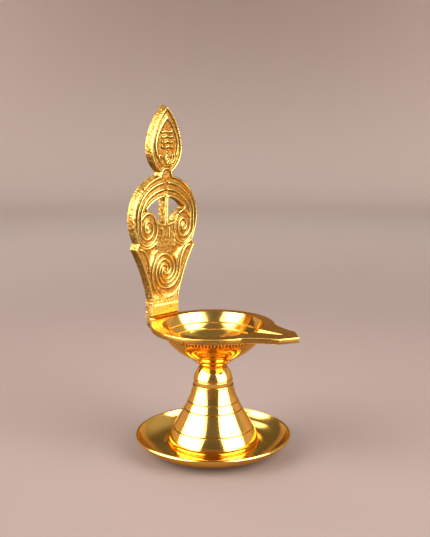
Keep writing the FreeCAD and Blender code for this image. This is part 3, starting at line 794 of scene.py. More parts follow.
# Flame: each small leaf of the right half has its points in mm, half width share and height
LEAF_BASE_SHARE = 0.17
LEAF_INSET = 2.5 * MM
LEAF_FOOT = 66.3 * MM
FLAME_SHIFT = 0.2 * MM
SMALL_LEAVES = (
    (((1.2, 63.4), (2.6, 63.7), (3.9, 64.9), (4.1, 66.4), (3.0, 66.9), (2.6, 65.9)), 0.75, 1),
    (((0, 61.3), (1.3, 61.2), (2.3, 60.3), (2.4, 59.2)), 0.85, 1),
    (((0.6, 62.6), (2.0, 62.5), (3.3, 62.9)), 0.6, 0.9),
)
PETAL = ((0, 63.4), (-1.1, 65.0), (-0.8, 66.6), (0, 68.3), (0.8, 66.6), (1.1, 65.0), (0, 63.4))
PETAL_MIDDLE = np.array((0, 65.6)) * MM
PETAL_SHARE = 0.4
BAR_HALF = 2.7 * MM
BAR_WAVE = 0.18 * MM
BAR_WAVE_RATE = 1.6 / MM
BAR_LEVELS = (70.2 * MM, 72.2 * MM, 74.3 * MM, 76.3 * MM)
FRINGE = np.array(((3, 70), (99, 78))) * MM
FRINGE_DEPTH = 0.3
FRINGE_RATE = 7 / MM
JOINT = np.array((0, 55.2)) * MM
JOINT_RADII = np.array((0.55, 1.7)) * MM
JOINT_DEPTH = 1.8

# Foot, border and grain
CREASE_HALF = 0.7 * MM
CREASE_DEPTH = 1.3
PAD_LEVEL = 5.5 * MM
PAD_EDGE = 0.18 * MM
BAND_LEVEL = 9.2 * MM
BAND_EDGE = 0.3 * MM
BAND_HEIGHT = 0.55
STIPPLE = np.array(((-5, 6), (5, 8.6))) * MM
STIPPLE_DEPTH = 0.2
LINE_MARGIN = 2 * MM
BORDER_SHARE = 0.4
BORDER_CREST = 0.8 * MM
GRAIN_DEPTHS = (0.03, 0.05)
GRAIN_CELLS = ((0.34 * MM, 0.6), (0.8 * MM, 0.4))
SWELL_CELL = 4 * MM
SWELL_DEPTH = 0.03

# Marks of the front, side walls, back and heel
EDGE_REACH = 1.5
FRONT_MARKS = (1.3, 1.6)
SIDE_MARKS = (0.9, 0.5)
BACK_MARK = 0.5
SIDE_LAYERS = 7
SIDE_NOISE = 0.16 * MM
SIDE_CELL = 0.5 * MM
SIDE_MARK_CELL = 0.4 * MM
BACK_CELLS = ((3 * MM, 0.04 * MM), (0.6 * MM, 0.016 * MM))
BACK_SINK = 0.06 * MM
SETTLING = 12 * MM
HEEL_STEPS = 10
HEEL_DEPTH = 5.2 * MM
HEEL_HALF = 7.5 * MM
HEEL_ROUND = 3.2 * MM
HEEL_TOP = 0.9 * MM
HEEL_CHAMFER = 0.25 * MM
HEEL_GAPS = (0.02 * MM, 0.03 * MM)


def right_half(tip):
    """Right half of the plate's outline, from below its foot to its tip."""
    crown = np.array((0, HEAD[1] + HEAD_RISE))
    shoulder = (HEAD[0] * math.sin(ARCH_MIDDLE), HEAD[1] + HEAD_RISE * math.cos(ARCH_MIDDLE))
    arch = arc_through(HEAD, shoulder, crown, ARCH_STEPS)
    shank = (FOOT_HALF_WIDTH, FOOT_LEVEL)
    return joined(
        (FOOT_HALF_WIDTH, -FOOT_LEVEL),
        bulged(shank, WING, -FLANK_HOLLOW_SHARE),
        bulged(NOTCH, HEAD, CHEEK_BULGE_SHARE),
        arch[arch[:, 0] > NECK[0]],
        bulged(NECK, FLAME, FLAME_BASE_SHARE, FINE_STEPS),
        bulged(FLAME, tip, FLAME_TIP_SHARE, FINE_STEPS),
    )


def ellipse(centre, radii, start, end, steps=FINE_STEPS):
    """Arc of an ellipse, in degrees from its top towards the right."""
    turns = np.radians(np.linspace(start, end, steps))
    return np.column_stack([centre[0] + radii[0] * np.sin(turns), centre[1] + radii[1] * np.cos(turns)])


def spiral(centre, radius, shrink, turns, stretch, belly=None):
    """Arm that winds clockwise and inwards from straight right; belly is its first low stretch."""
    turn = np.linspace(turns[0], turns[1], SPIRAL_STEPS)
    reach = radius - shrink * turn
    low = (turn > 0) & (turn < 1 / 2)
    rise = np.where(low, belly or stretch, stretch)
    return np.column_stack([centre[0] + reach * np.cos(-2 * math.pi * turn),
                            centre[1] + reach * rise * np.sin(-2 * math.pi * turn)])


def flowing(points):
    """Catmull-Rom line through points in mm."""
    points = np.array(points) * MM
    ends = np.vstack([2 * points[0] - points[1], points, 2 * points[-1] - points[-2]])
    made = []
    t = np.linspace(0, 1, FLOW_STEPS, endpoint=False)[:, None]
    for a, b, c, d in zip(ends, ends[1:], ends[2:], ends[3:]):
        made.append(0.5 * (2 * b + (c - a) * t + (2 * a - 5 * b + 4 * c - d) * t ** 2
                           + (3 * b - a - 3 * c + d) * t ** 3))
    return np.vstack(made + [points[-1:]])


def mirrored(line):
    return line * (-1, 1)


def opening_outline():
    """Right opening, beside the post, under the arch and over the volute."""
    radius = VOLUTE_RADIUS - VOLUTE_RIM_GAP
    rim = ellipse(VOLUTE, (radius, radius * VOLUTE_STRETCH), *OPENING_RIM, FINE_STEPS // 2)
    return joined(
        (POST_HALF, OPENING_BASE),
        (POST_HALF, OPENING_TOP),
        bulged((POST_HALF, OPENING_TOP), OPENING_CORNER, OPENING_ARCH_SHARE),
        rim,
        (POST_HALF, OPENING_BASE),
    )


def distance_to(line, points):
    """Distance from points to a line."""
    best = np.full(len(points), np.inf)
    for start, end in zip(line[:-1], line[1:]):
        run = end - start
        away = points - start
        along = np.clip(away @ run / (run @ run), 0, 1)
        best = np.minimum(best, ((away - along[:, None] * run) ** 2).sum(axis=1))
    return np.sqrt(best)


def inside(outline, points):
    """Which points lie inside a closed outline."""
    crossed = np.zeros(len(points), bool)
    for (x0, y0), (x1, y1) in zip(outline, np.roll(outline, -1, axis=0)):
        if y0 != y1:
            spans = (points[:, 1] >= min(y0, y1)) & (points[:, 1] < max(y0, y1))
            crossed ^= spans & (points[:, 0] < x0 + (points[:, 1] - y0) * (x1 - x0) / (y1 - y0))
    return crossed


def signed_distance(line, closing, points):
    """Distance to a line, below zero inside the outline that closing completes."""
    away = distance_to(line, points)
    return np.where(inside(joined(line, closing), points), -away, away)


def patchy(points, cell, draw):
    """Soft random field from -1 to 1 over a plan."""
    low = points.min(axis=0)
    place = (points - low) / cell
    whole = place.astype(int)
    part = place - whole
    part = part * part * (3 - 2 * part)
    values = draw.uniform(-1, 1, whole.max(axis=0) + 2)
    i, j = whole.T
    u, v = part.T
    return ((values[i, j] * (1 - u) + values[i + 1, j] * u) * (1 - v)
            + (values[i, j + 1] * (1 - u) + values[i + 1, j + 1] * u) * v)


def relief_lines(tip):
    """Centre lines of the plate's ridges, each with a half width share and a height."""
    arches = []
    for order, last in enumerate(ARCH_ENDS, 1):
        radii = (HEAD[0] - BORDER_HALF - order * RIDGE_SIDE_PITCH,
                 HEAD_RISE - BORDER_HALF - order * RIDGE_PITCH)
        arches.append(ellipse((0, HEAD[1]), radii, ARCH_START, last))
    outer = spiral(VOLUTE, VOLUTE_RADIUS, VOLUTE_SHRINK, VOLUTE_TURNS, VOLUTE_STRETCH)
    inner = spiral(VOLUTE, VOLUTE_RADIUS - RIDGE_SIDE_PITCH, VOLUTE_INNER_SHRINK, VOLUTE_INNER_TURNS,
                   VOLUTE_STRETCH)
    brow = np.linspace((NOTCH[0] - BORDER_HALF, NOTCH[1]), (PANEL_HALF, NOTCH[1]), BROW_STEPS)
    brow[:, 1] -= (NOTCH[1] - BROW_LEVEL) * np.sin(np.linspace(0, math.pi, BROW_STEPS))
    halves = [
        (joined(arches[0], outer), 1, 1),
        (joined(arches[1], inner), 1, 0.95),
        (arches[2], 0.9, 0.9),
        (brow, 0.9, 0.85),
        (np.array(((PANEL_HALF, WING[1]), (PANEL_HALF, VOLUTE[1]))), 0.8, 0.7),
        *[(flowing(points), width, level) for points, width, level in SMALL_LEAVES],
    ]
    lines = halves + [(mirrored(line), width, level) for line, width, level in halves]
    arms = [spiral(COIL, radius, COIL_SHRINK, turns, COIL_STRETCH, None if arm else COIL_BELLY)
            for arm, (radius, turns) in enumerate(zip(COIL_RADII, COIL_TURNS))]
    collars = []
    for half in (COIL_RADII[1], COLLAR_FOOT):
        turns = np.linspace(math.pi / 2, 0, CORNER_STEPS)
        flare = (COLLAR_TOP - half) * (1 - np.cos(turns))
        collars.append(np.column_stack([half + flare, COIL[1] + (WING[1] - COIL[1]) * np.sin(turns)]))
    lines += [(arms[0], 1, 1), (joined(collars[0], arms[1]), 1, 1), (arms[2], 0.9, 1),
              (mirrored(collars[1]), 1, 0.9)]
    lines += [(np.array(((offset, STROKE_LEVELS[0]), (offset, STROKE_LEVELS[1]))), 0.85, 0.85)
              for offset in STROKE_OFFSETS]
    for number, level in enumerate(BAR_LEVELS):
        along = np.linspace(-BAR_HALF, BAR_HALF, BAR_STEPS)
        rise = BAR_WAVE * np.sin(BAR_WAVE_RATE * along + number)
        lines.append((np.column_stack([along + FLAME_SHIFT, level + rise]), 1, 1))
    leaf = joined(
        bulged((0, NECK[1] + LEAF_INSET), (FLAME[0] - LEAF_INSET, FLAME[1]), LEAF_BASE_SHARE),
        bulged((FLAME[0] - LEAF_INSET, FLAME[1]), (0, tip - 2 * LEAF_INSET), FLAME_TIP_SHARE),
    )
    leaf = leaf[leaf[:, 1] > LEAF_FOOT]
    lines += [(leaf, 0.9, 1), (mirrored(leaf) + (FLAME_SHIFT, 0), 1.35, 1)]
    petal = flowing(PETAL)
    small = PETAL_MIDDLE + (petal[::-1] - PETAL_MIDDLE) * PETAL_SHARE
    return lines + [(petal, 0.7, 1), (small, 0.8, 0.9)]


def within(plan, low, high):
    """Which places lie between a lower left and an upper right corner."""
    return np.all((plan > low) & (plan < high), axis=1)


def spot(plan, centre, radii):
    """Falls from 1 to 0 across the edge of an ellipse."""
    return 1 / (1 + np.linalg.norm((plan - centre) / radii, axis=1) ** SPOT_POWER)


def step_down(away, edge):
    """Falls from 1 to 0 where a distance passes zero."""
    return 1 / (1 + np.exp(away / edge))


def layered(points, cells, draw):
    """Sum of random fields, each given by its cell and its height."""
    return sum(height * patchy(points, cell, draw) for cell, height in cells)


def plate_heights(plan, depth_in, tip, sizes, draw):
    """How far each place of the front stands up, from 0 in the ground to 1 on the ridges."""
    height = crest(np.maximum(0, depth_in - BORDER_SHARE * sizes.border), BORDER_CREST)
    fringe = within(plan, *FRINGE) * np.clip(np.sin(FRINGE_RATE * plan[:, 1]), 0, 1)
    height *= 1 - FRINGE_DEPTH * fringe
    for line, width, level in relief_lines(tip):
        near = within(plan, line.min(axis=0) - LINE_MARGIN, line.max(axis=0) + LINE_MARGIN)
        ridge = level * crest(distance_to(line, plan[near]), sizes.ridge * width)
        height[near] = np.maximum(height[near], ridge)
    height -= JOINT_DEPTH * spot(plan, JOINT, JOINT_RADII)
    raised = [height]
    for pad in WING_PADS:
        corners = np.array(pad) * MM
        hold = step_down(signed_distance(corners, corners[:1], plan), WING_PAD_EDGE)
        slant = WING_PAD_LEVEL + (plan - corners.mean(axis=0)) @ WING_PAD_TILT
        raised.append(hold * np.clip(slant, 0, WING_PAD_TOP))
    raised += [spot(plan, VOLUTE * (side, 1), KNOB_RADIUS) for side in (-1, 1)]
    post = np.maximum(np.abs(plan[:, 0]) / POST_HALF, np.abs(plan[:, 1] - POST_MIDDLE) / POST_RISE)
    raised += [POST_LEVEL / (1 + post ** POST_POWER),
               step_down(plan[:, 1] - PAD_LEVEL, PAD_EDGE),
               BAND_HEIGHT * step_down(plan[:, 1] - BAND_LEVEL, BAND_EDGE),
               PANEL_LEVEL * within(plan, *PANEL)]
    height = np.max(raised, axis=0) - CREASE_DEPTH * spot(plan * (0, 1), (0, 0), CREASE_HALF)
    rough = GRAIN_DEPTHS[0] + GRAIN_DEPTHS[1] * (1 - height) + STIPPLE_DEPTH * within(plan, *STIPPLE)
    grain = layered(plan, GRAIN_CELLS, draw)
    return height + grain * rough + SWELL_DEPTH * patchy(plan, SWELL_CELL, draw)


def cell_corners(grid):
    """The four corners of each cell of a grid."""
    return np.stack([grid[:-1, :-1], grid[1:, :-1], grid[1:, 1:], grid[:-1, 1:]], axis=-1)


def renumbered(chosen, number):
    """For each of a number of points, its new number when only the chosen ones stay."""
    order = np.full(number, -1)
    order[chosen] = np.arange(len(chosen))
    return order


def make_back_plate(sizes):
    top = BOWL_BOX[1].z
    tip = (0, (PLATE_BOX[1].z - top) / math.cos(sizes.lean))
    draw = np.random.default_rng(SEED)
    step = sizes.grid
    across = np.arange(-HEAD[0] - 2 * step, HEAD[0] + 3 * step, step)
    levels = np.arange(0, tip[1] + 2 * step, step)
    plan = np.stack(np.meshgrid(across, levels, indexing="ij"), axis=-1).reshape(-1, 2)
    shape = (len(across), len(levels))
    half = np.column_stack([np.abs(plan[:, 0]) + TINY, plan[:, 1]])
    outline = right_half(tip)
    out = signed_distance(outline, np.array(((0, tip[1]), (0, -FOOT_LEVEL))), half)
    opening = opening_outline()
    hole = -signed_distance(opening, opening[:1], half)
    draft = np.where(hole > out, sizes.opening_draft, sizes.draft)
    front = np.maximum(out + sizes.draft, hole + sizes.opening_draft)

    field = front.reshape(shape)
    slope = np.stack(np.gradient(field, step), axis=-1).reshape(-1, 2)
    slope /= np.linalg.norm(slope, axis=1)[:, None] + TINY
    kept = cell_corners(field).mean(axis=-1) < 0
    cells = cell_corners(np.arange(len(plan)).reshape(shape))[kept]
    edges = np.concatenate([cells[:, [i, (i + 1) % 4]] for i in range(4)])
    border = edges[~np.isin(edges @ (len(plan), 1), edges @ (1, len(plan)))]
    rim = np.unique(border)
    used = np.unique(cells)

    on_line = rim[np.abs(front[rim]) < EDGE_REACH * step]
    placed = plan.copy()
    placed[on_line] -= slope[on_line] * front[on_line][:, None]
    depth_in = np.maximum(-front, 0)
    depth_in[on_line] = 0
    height = plate_heights(placed, depth_in, tip[1], sizes, draw)
    fall = 1 - np.clip(depth_in / sizes.edge, 0, 1)
    rounding = sizes.edge * (1 - np.sqrt(np.clip(1 - fall ** 2, 0, 1)))
    depth = sizes.relief * (1 - height) + rounding

    order, rim_order = (renumbered(chosen, len(plan)) for chosen in (used, rim))
    outward = np.zeros_like(plan)
    outward[on_line] = slope[on_line]

    layers = [np.column_stack([placed[used], depth[used]])]
    marks = [np.clip(FRONT_MARKS[0] - FRONT_MARKS[1] * height[used], 0, 1)]
    for layer in range(1, SIDE_LAYERS):
        share_back = layer / SIDE_LAYERS
        move = draft[rim] * share_back + SIDE_NOISE * patchy(placed[rim], SIDE_CELL, draw)
        side = placed[rim] + outward[rim] * move[:, None]
        layers.append(np.column_stack([side, depth[rim] + (sizes.thickness - depth[rim]) * share_back]))
        marks.append(SIDE_MARKS[0] + SIDE_MARKS[1] * patchy(placed[rim], SIDE_MARK_CELL, draw))
    back = placed[used] + outward[used] * draft[used][:, None]
    wavy = layered(back, BACK_CELLS, draw)
    layers.append(np.column_stack([back, sizes.thickness - BACK_SINK + wavy]))
    marks.append(np.full(len(used), BACK_MARK))

    starts = np.cumsum([0] + [len(layer) for layer in layers])
    faces = order[cells].tolist()
    faces += (order[cells][:, ::-1] + starts[-2]).tolist()
    bands = [order[border]] + [rim_order[border] + starts[i] for i in range(1, SIDE_LAYERS)]
    bands.append(order[border] + starts[-2])
    for near, far in zip(bands, bands[1:]):
        faces += np.column_stack([near[:, 1], near[:, 0], far[:, 0], far[:, 1]]).tolist()
    points = np.vstack(layers)

    settled = np.clip(points[:, 1] / SETTLING, 0, 1)
    right = points[:, 0] * math.cos(sizes.lean) + points[:, 1] * math.sin(sizes.lean)
    level = points[:, 1] * math.cos(sizes.lean) - points[:, 0] * math.sin(sizes.lean) * settled
    foot, right_axis, back_axis = plate_axes(sizes)
    places = foot + right[:, None] * right_axis + points[:, 2:] * back_axis
    points = np.column_stack([places, top + np.maximum(level, 0)])
    heel_points, heel_faces = heel_mesh(sizes, top)
    faces += shifted(heel_faces, len(points))
    hollow = np.concatenate([*marks, np.full(len(heel_points), BACK_MARK)])
    return new_piece("back_plate_cast", np.vstack([points, heel_points]), faces, hollow)


def heel_mesh(sizes, top):
    """Tongue behind the foot that laps the lug."""
    corner = rounded((HEEL_HALF - HEEL_ROUND, HEEL_ROUND - HEEL_DEPTH), HEEL_ROUND, -math.pi / 2, 0,
                     HEEL_STEPS)
    outline = joined(corner, (HEEL_HALF, HEEL_TOP), (-HEEL_HALF, HEEL_TOP), mirrored(corner)[::-1])
    middle = outline.mean(axis=0)
    small = middle + (outline - middle) * (1 - HEEL_CHAMFER / HEEL_HALF)
    near, far = sizes.seat + HEEL_GAPS[0], sizes.thickness - HEEL_GAPS[1]
    loops = [(outline, near), (outline, far - HEEL_CHAMFER), (small, far)]
    foot, right, back = plate_axes(sizes)
    points = []
    for loop, depth in loops:
        places = foot + loop[:, :1] * right + depth * back
        points.append(np.column_stack([places, top + loop[:, 1]]))
    size = len(outline)
    faces = [list(range(size)), list(range(3 * size - 1, 2 * size - 1, -1))]
    faces += [face[::-1] for face in ring_faces(numbered(points))]
    return np.vstack(points), faces


# Shader nodes

NODE_STEP = 200
# Sockets of a Mix node that mixes colours
MIX_FIRST, MIX_SECOND, MIX_RESULT = 6, 7, 2


def node(tree, kind, inputs=(), **settings):
    """Shader node to the right of the others, whose inputs take sockets or plain values."""
    made = tree.nodes.new("ShaderNode" + kind)
    made.location = (NODE_STEP * len(tree.nodes), 0)
    for name, value in settings.items():
        setattr(made, name, value)
    for name, value in dict(inputs).items():
        if isinstance(value, bpy.types.NodeSocket):
            tree.links.new(value, made.inputs[name])
        else:
            made.inputs[name].default_value = value
    return made


def reckoned(tree, operation, first, second, **settings):
    """Result of a Math node."""
    return node(tree, "Math", {0: first, 1: second}, operation=operation, **settings).outputs[0]


def product(tree, first, second):
    return reckoned(tree, "MULTIPLY", first, second)


def total(tree, first, second):
    return reckoned(tree, "ADD", first, second)


def mixed(tree, part, first, second, **settings):
    """Colour between two others."""
    return node(tree, "Mix", {"Factor": part, MIX_FIRST: first, MIX_SECOND: second},
                data_type="RGBA", **settings).outputs[MIX_RESULT]


def noise(tree, vector, scale, detail, distortion=0.0):
    return node(tree, "TexNoise", {"Vector": vector, "Scale": scale, "Detail": detail,
                                   "Distortion": distortion}).outputs["Fac"]


def ranged(tree, value, low, high, results=(0.0, 1.0), shape="LINEAR"):
    """Runs from the first result to the second while value passes from low to high."""
    return node(tree, "MapRange", {"Value": value, "From Min": low, "From Max": high,
                                   "To Min": results[0], "To Max": results[1]},
                interpolation_type=shape).outputs["Result"]


def from_axis(tree, vector):
    """Distance from the lamp's axis."""
    flat = node(tree, "VectorMath", {0: vector, 1: (1, 1, 0)}, operation="MULTIPLY").outputs[0]
    return node(tree, "VectorMath", {0: flat}, operation="LENGTH").outputs["Value"]


# Shared effects: scales are cells in a metre, reliefs are shares of a material's bump

TOUCH = {"low": 0.38, "high": 0.68, "shape": "SMOOTHSTEP"}
SPECKLE_SCALE = 900
SPECKLE_ROUGHNESS = 0.05
SCRATCH_TURNS = ((0.3, 0.2, 0.1), (1.1, 0.6, 2.0), (2.2, 1.4, 0.9))
SCRATCH_SCALE = (90, 2600, 2600)
SCRATCH_EDGE = (0.62, 0.75)
COARSE_GRAIN_SCALE = 1200
FINE_GRAIN_SCALE = 4200
FINE_GRAIN_SHARE = 0.5
PIT_SCALE = 900.0
PIT_REACH = 0.22
CLOUD_SCALE = 120
CLOUD_EDGE = (0.5, 0.75)
RAGGED_SCALE = 1100
RAGGED_EDGE = (0.3, 0.7)
RAGGED_SHARES = (0.6, 1.1)


def handling_wear(tree, given):
    """Roughness that rises in patches of touched metal."""
    cloud = noise(tree, given["Vector"], given["Patch Scale"], detail=5, distortion=0.6)
    patches = product(tree, ranged(tree, cloud, **TOUCH), given["Spread"])
    speckle = product(tree, noise(tree, given["Vector"], SPECKLE_SCALE, detail=3), SPECKLE_ROUGHNESS)
    return {"Roughness": total(tree, total(tree, patches, speckle), given["Roughness"])}


def wiping_scratches(tree, given):
    """Fine scratches from wiping, in three directions."""
    layers = []
    for turn in SCRATCH_TURNS:
        spin = node(tree, "Mapping", {"Vector": given["Vector"], "Rotation": turn,
                                      "Scale": SCRATCH_SCALE})
        streaks = noise(tree, spin.outputs["Vector"], 1, detail=2)
        layers.append(ranged(tree, streaks, *SCRATCH_EDGE))
    lines = reduce(partial(total, tree), layers)
    return {"Height": reckoned(tree, "SUBTRACT", 1.0, product(tree, lines, given["Depth"]))}


def turning_marks(tree, given):
    """Rings that the lathe tool left round the lamp's axis."""
    rise = node(tree, "SeparateXYZ", {0: given["Vector"]}).outputs["Z"]
    along = product(tree, total(tree, from_axis(tree, given["Vector"]), rise), given["Rings"])
    rings = node(tree, "TexNoise", {"W": along, "Scale": 1, "Detail": 4}, noise_dimensions="1D")
    return {"Height": rings.outputs["Fac"]}


def cast_grain(tree, given):
    """Sandy grain of a casting, with a few pits."""
    coarse = noise(tree, given["Vector"], COARSE_GRAIN_SCALE, detail=4)
    fine = noise(tree, given["Vector"], FINE_GRAIN_SCALE, detail=3)
    cells = node(tree, "TexVoronoi", {"Vector": given["Vector"], "Scale": PIT_SCALE})
    pit = ranged(tree, cells.outputs["Distance"], 0.0, PIT_REACH, (1.0, 0.0))
    grain = total(tree, coarse, product(tree, fine, FINE_GRAIN_SHARE))
    return {"Height": reckoned(tree, "SUBTRACT", grain, product(tree, pit, given["Pits"]))}


def tarnish_and_shade(tree, given):
    """Brass colour that darkens and reddens in its hollows and in old patches: tarnish, and painted
    shade where a piece's marks stand for shade.
    """
    cloud = ranged(tree, noise(tree, given["Vector"], CLOUD_SCALE, detail=5), *CLOUD_EDGE)
    broken = noise(tree, given["Vector"], RAGGED_SCALE, detail=3)
    ragged = ranged(tree, broken, *RAGGED_EDGE, RAGGED_SHARES)
    deep = product(tree, product(tree, given["Hollow"], given["Amount"]), ragged)
    mask = reckoned(tree, "ADD", product(tree, cloud, given["Patches"]), deep, use_clamp=True)
    return {"Color": mixed(tree, mask, given["Bright"], given["Dull"]), "Mask": mask}


EFFECTS = {
    "Handling wear": (handling_wear, {"Vector": None, "Roughness": 0.12, "Spread": 0.08,
                                      "Patch Scale": 60.0}),
    "Wiping scratches": (wiping_scratches, {"Vector": None, "Depth": 0.3}),
    "Turning marks": (turning_marks, {"Vector": None, "Rings": 3500.0}),
    "Cast grain": (cast_grain, {"Vector": None, "Pits": 0.5}),
    "Tarnish": (tarnish_and_shade, {"Vector": None, "Bright": (0.87, 0.57, 0.2, 1), "Dull": (0.42, 0.2, 0.06, 1),
                          "Hollow": 0.0, "Amount": 0.8, "Patches": 0.15}),
}
SOCKET_KINDS = {type(None): "NodeSocketVector", tuple: "NodeSocketColor", float: "NodeSocketFloat"}
RESULT_KINDS = {"Color": "NodeSocketColor"}


def make_effect(name):
    """Node group of a shared effect, with a named socket for each thing that it takes or gives."""
    build, inputs = EFFECTS[name]
    tree = bpy.data.node_groups.new(name, "ShaderNodeTree")
    for label, value in inputs.items():
        socket = tree.interface.new_socket(name=label, in_out="INPUT",
                                           socket_type=SOCKET_KINDS[type(value)])
        if value is not None:
            socket.default_value = value
    results = build(tree, tree.nodes.new("NodeGroupInput").outputs)
    for label in results:
        tree.interface.new_socket(name=label, in_out="OUTPUT",
                                  socket_type=RESULT_KINDS.get(label, "NodeSocketFloat"))
    end = tree.nodes.new("NodeGroupOutput")
    for label, socket in results.items():
        tree.links.new(socket, end.inputs[label])


def effect(tree, name, vector, values):
    """Outputs of a shared effect, which is made the first time that it is asked for."""
    if name not in bpy.data.node_groups:
        make_effect(name)
    group = bpy.data.node_groups[name]
    return node(tree, "Group", {"Vector": vector, **values}, node_tree=group).outputs


# Brass

EDGE_TINT = (1.0, 0.78, 0.5, 1)
SPREAD_SHARE = 0.7
DULL_ROUGHNESS = 0.22
BUMP_HEIGHT = 0.01 * MM
# Each brass: colour, colour in its hollows, roughness and its factor, how far the hollows darken
# (None on pieces that have none marked), and each relief with its values and its share
BRASSES = {
    "Polished brass": ("polished", "tarnish_and_shade", "roughness", 1.0, 0.8,
                       (("Turning marks", {}, 0.10), ("Wiping scratches", {}, 0.12))),
    "Cast brass": ("cast", "groove", "cast_roughness", 1.0, 1.0,
                   (("Cast grain", {}, 6.0), ("Wiping scratches", {}, 0.3))),
    "Beaded brass": ("polished", "tarnish_and_shade", "roughness", 1.5, 0.9,
                     (("Cast grain", {"Pits": 0.2}, 0.5), ("Wiping scratches", {}, 0.2))),
    "Screw brass": ("screw", "tarnish_and_shade", "roughness", 2.2, None,
                    (("Turning marks", {"Rings": 6000.0}, 0.5), ("Wiping scratches", {}, 0.4))),
    "Thread brass": ("screw", "tarnish_and_shade", "roughness", 2.0, 0.9,
                     (("Cast grain", {"Pits": 0.1}, 0.3), ("Wiping scratches", {}, 0.4))),
}


def brass_material(name, finish):
    """One of the brasses, made the first time that it is asked for."""
    if name in bpy.data.materials:
        return bpy.data.materials[name]
    bright, dull, roughness, factor, darkness, reliefs = BRASSES[name]
    roughness = factor * getattr(finish, roughness)
    material = bpy.data.materials.new(name)
    material.use_nodes = True
    tree = material.node_tree
    tree.nodes.clear()
    vector = node(tree, "TexCoord").outputs["Object"]
    colours = {"Bright": (*getattr(finish, bright), 1), "Dull": (*getattr(finish, dull), 1)}
    if darkness is not None:
        hollow = node(tree, "Attribute", attribute_name="hollow").outputs["Fac"]
        colours.update(Hollow=hollow, Amount=darkness)
    aged = effect(tree, "Tarnish", vector, colours)
    worn = effect(tree, "Handling wear", vector,
                  {"Roughness": roughness, "Spread": SPREAD_SHARE * roughness})
    relief = reduce(partial(total, tree), [
        product(tree, effect(tree, kind, vector, values)["Height"], part)
        for kind, values, part in reliefs])
    bump = node(tree, "Bump", {"Strength": 1.0, "Distance": BUMP_HEIGHT, "Height": relief})
    shader = node(tree, "BsdfPrincipled", {
        "Metallic": 1.0, "Specular Tint": EDGE_TINT, "Base Color": aged["Color"],
        "Roughness": total(tree, worn["Roughness"], product(tree, aged["Mask"], DULL_ROUGHNESS)),
        "Normal": bump.outputs[0]})
    node(tree, "OutputMaterial", {"Surface": shader.outputs[0]})
    return material


# Studio

FLOOR_TINT = (0.97, 0.97, 0.97, 1)
FLOOR_CLOUD_SCALE = 3
FLOOR_ROUGHNESS = 0.85
FLOOR_SHINE = 0.2
SWEEP_SHARES = (0.2, 0.95)
BEND_SHARE = 0.3
COVE_RING_SHARES = (0.05, 0.4)
COVE_STEPS = 16
COVE_COLUMNS = 128
SOFTBOX_SPREAD = math.radians(90)
SOFTBOX_LEVEL = 0.05
# Each light: heading from straight front, elevation, distance, width, height, whose brightness
SOFTBOXES = {
    "softbox_left": (-67, 25, 0.62, 0.86, 0.84, "key"),
    "softbox_right": (58, 25, 0.62, 0.68, 0.84, "key"),
    "softbox_overhead": (170, 72, 0.9, 0.5, 0.3, "fill"),
    "softbox_back": (-156, 50, 0.9, 0.4, 0.3, "fill"),
}
ROOM_COLOUR = (1.0, 0.95, 0.9, 1)
SKY_HEIGHTS = (0.05, 0.9)
ZENITH_FACTOR = 2.2
WINDOW_HEADING = math.radians(120)
WINDOW_SIDE = 0.87
WINDOW_RISE = 0.5
WINDOW_REACH = (0.7, 1.0)
SENSOR_WIDTH = 36
NEAREST_SIGHT = 0.01


def studio_material(studio):
    material = bpy.data.materials.new("Pale floor")
    material.use_nodes = True
    tree = material.node_tree
    vector = node(tree, "TexCoord").outputs["Object"]
    cloud = mixed(tree, noise(tree, vector, FLOOR_CLOUD_SCALE, detail=4), FLOOR_TINT, (1, 1, 1, 1))
    reach = [studio.floor_radius * part for part in SWEEP_SHARES]
    away = ranged(tree, from_axis(tree, vector), *reach, shape="SMOOTHSTEP")
    sweep = mixed(tree, away, (*studio.floor, 1), (*studio.backdrop, 1))
    shader = tree.nodes["Principled BSDF"]
    tree.links.new(mixed(tree, 1.0, sweep, cloud, blend_type="MULTIPLY"), shader.inputs["Base Color"])
    shader.inputs["Roughness"].default_value = FLOOR_ROUGHNESS
    shader.inputs["Specular IOR Level"].default_value = FLOOR_SHINE
    return material


def make_cove(studio):
    """Round floor that rises into a low pale backdrop all round."""
    bend = BEND_SHARE * studio.floor_radius
    outline = joined(
        *[(studio.floor_radius * part, 0) for part in COVE_RING_SHARES],
        rounded((studio.floor_radius - bend, bend), bend, -math.pi / 2, 0, COVE_STEPS),
        (studio.floor_radius, studio.wall),
    )
    rings = [pole(0)] + [ring(radius, height, full_turn(COVE_COLUMNS)) for radius, height in outline]
    faces = [face[::-1] for face in ring_faces(numbered(rings))]
    cove = new_piece("studio_cove", np.vstack(rings), faces)
    cove.data.materials.append(studio_material(studio))


def softbox(name, heading, elevation, distance, width, height, strength):
    """Area light that faces the lamp; heading is counted round the upright from straight front."""
    light = bpy.data.lights.new(name, "AREA")
    light.shape = "RECTANGLE"
    light.size = width
    light.size_y = height
    light.energy = strength * math.pi * width * height
    light.spread = SOFTBOX_SPREAD
    lamp = bpy.data.objects.new(name, light)
    bpy.context.scene.collection.objects.link(lamp)
    turn, rise = math.radians(heading), math.radians(elevation)
    lamp.location = (distance * math.sin(turn) * math.cos(rise),
                     -distance * math.cos(turn) * math.cos(rise),
                     distance * math.sin(rise) + SOFTBOX_LEVEL)
    lamp.rotation_euler = (math.pi / 2 - rise, 0, turn)
    lamp.visible_camera = False


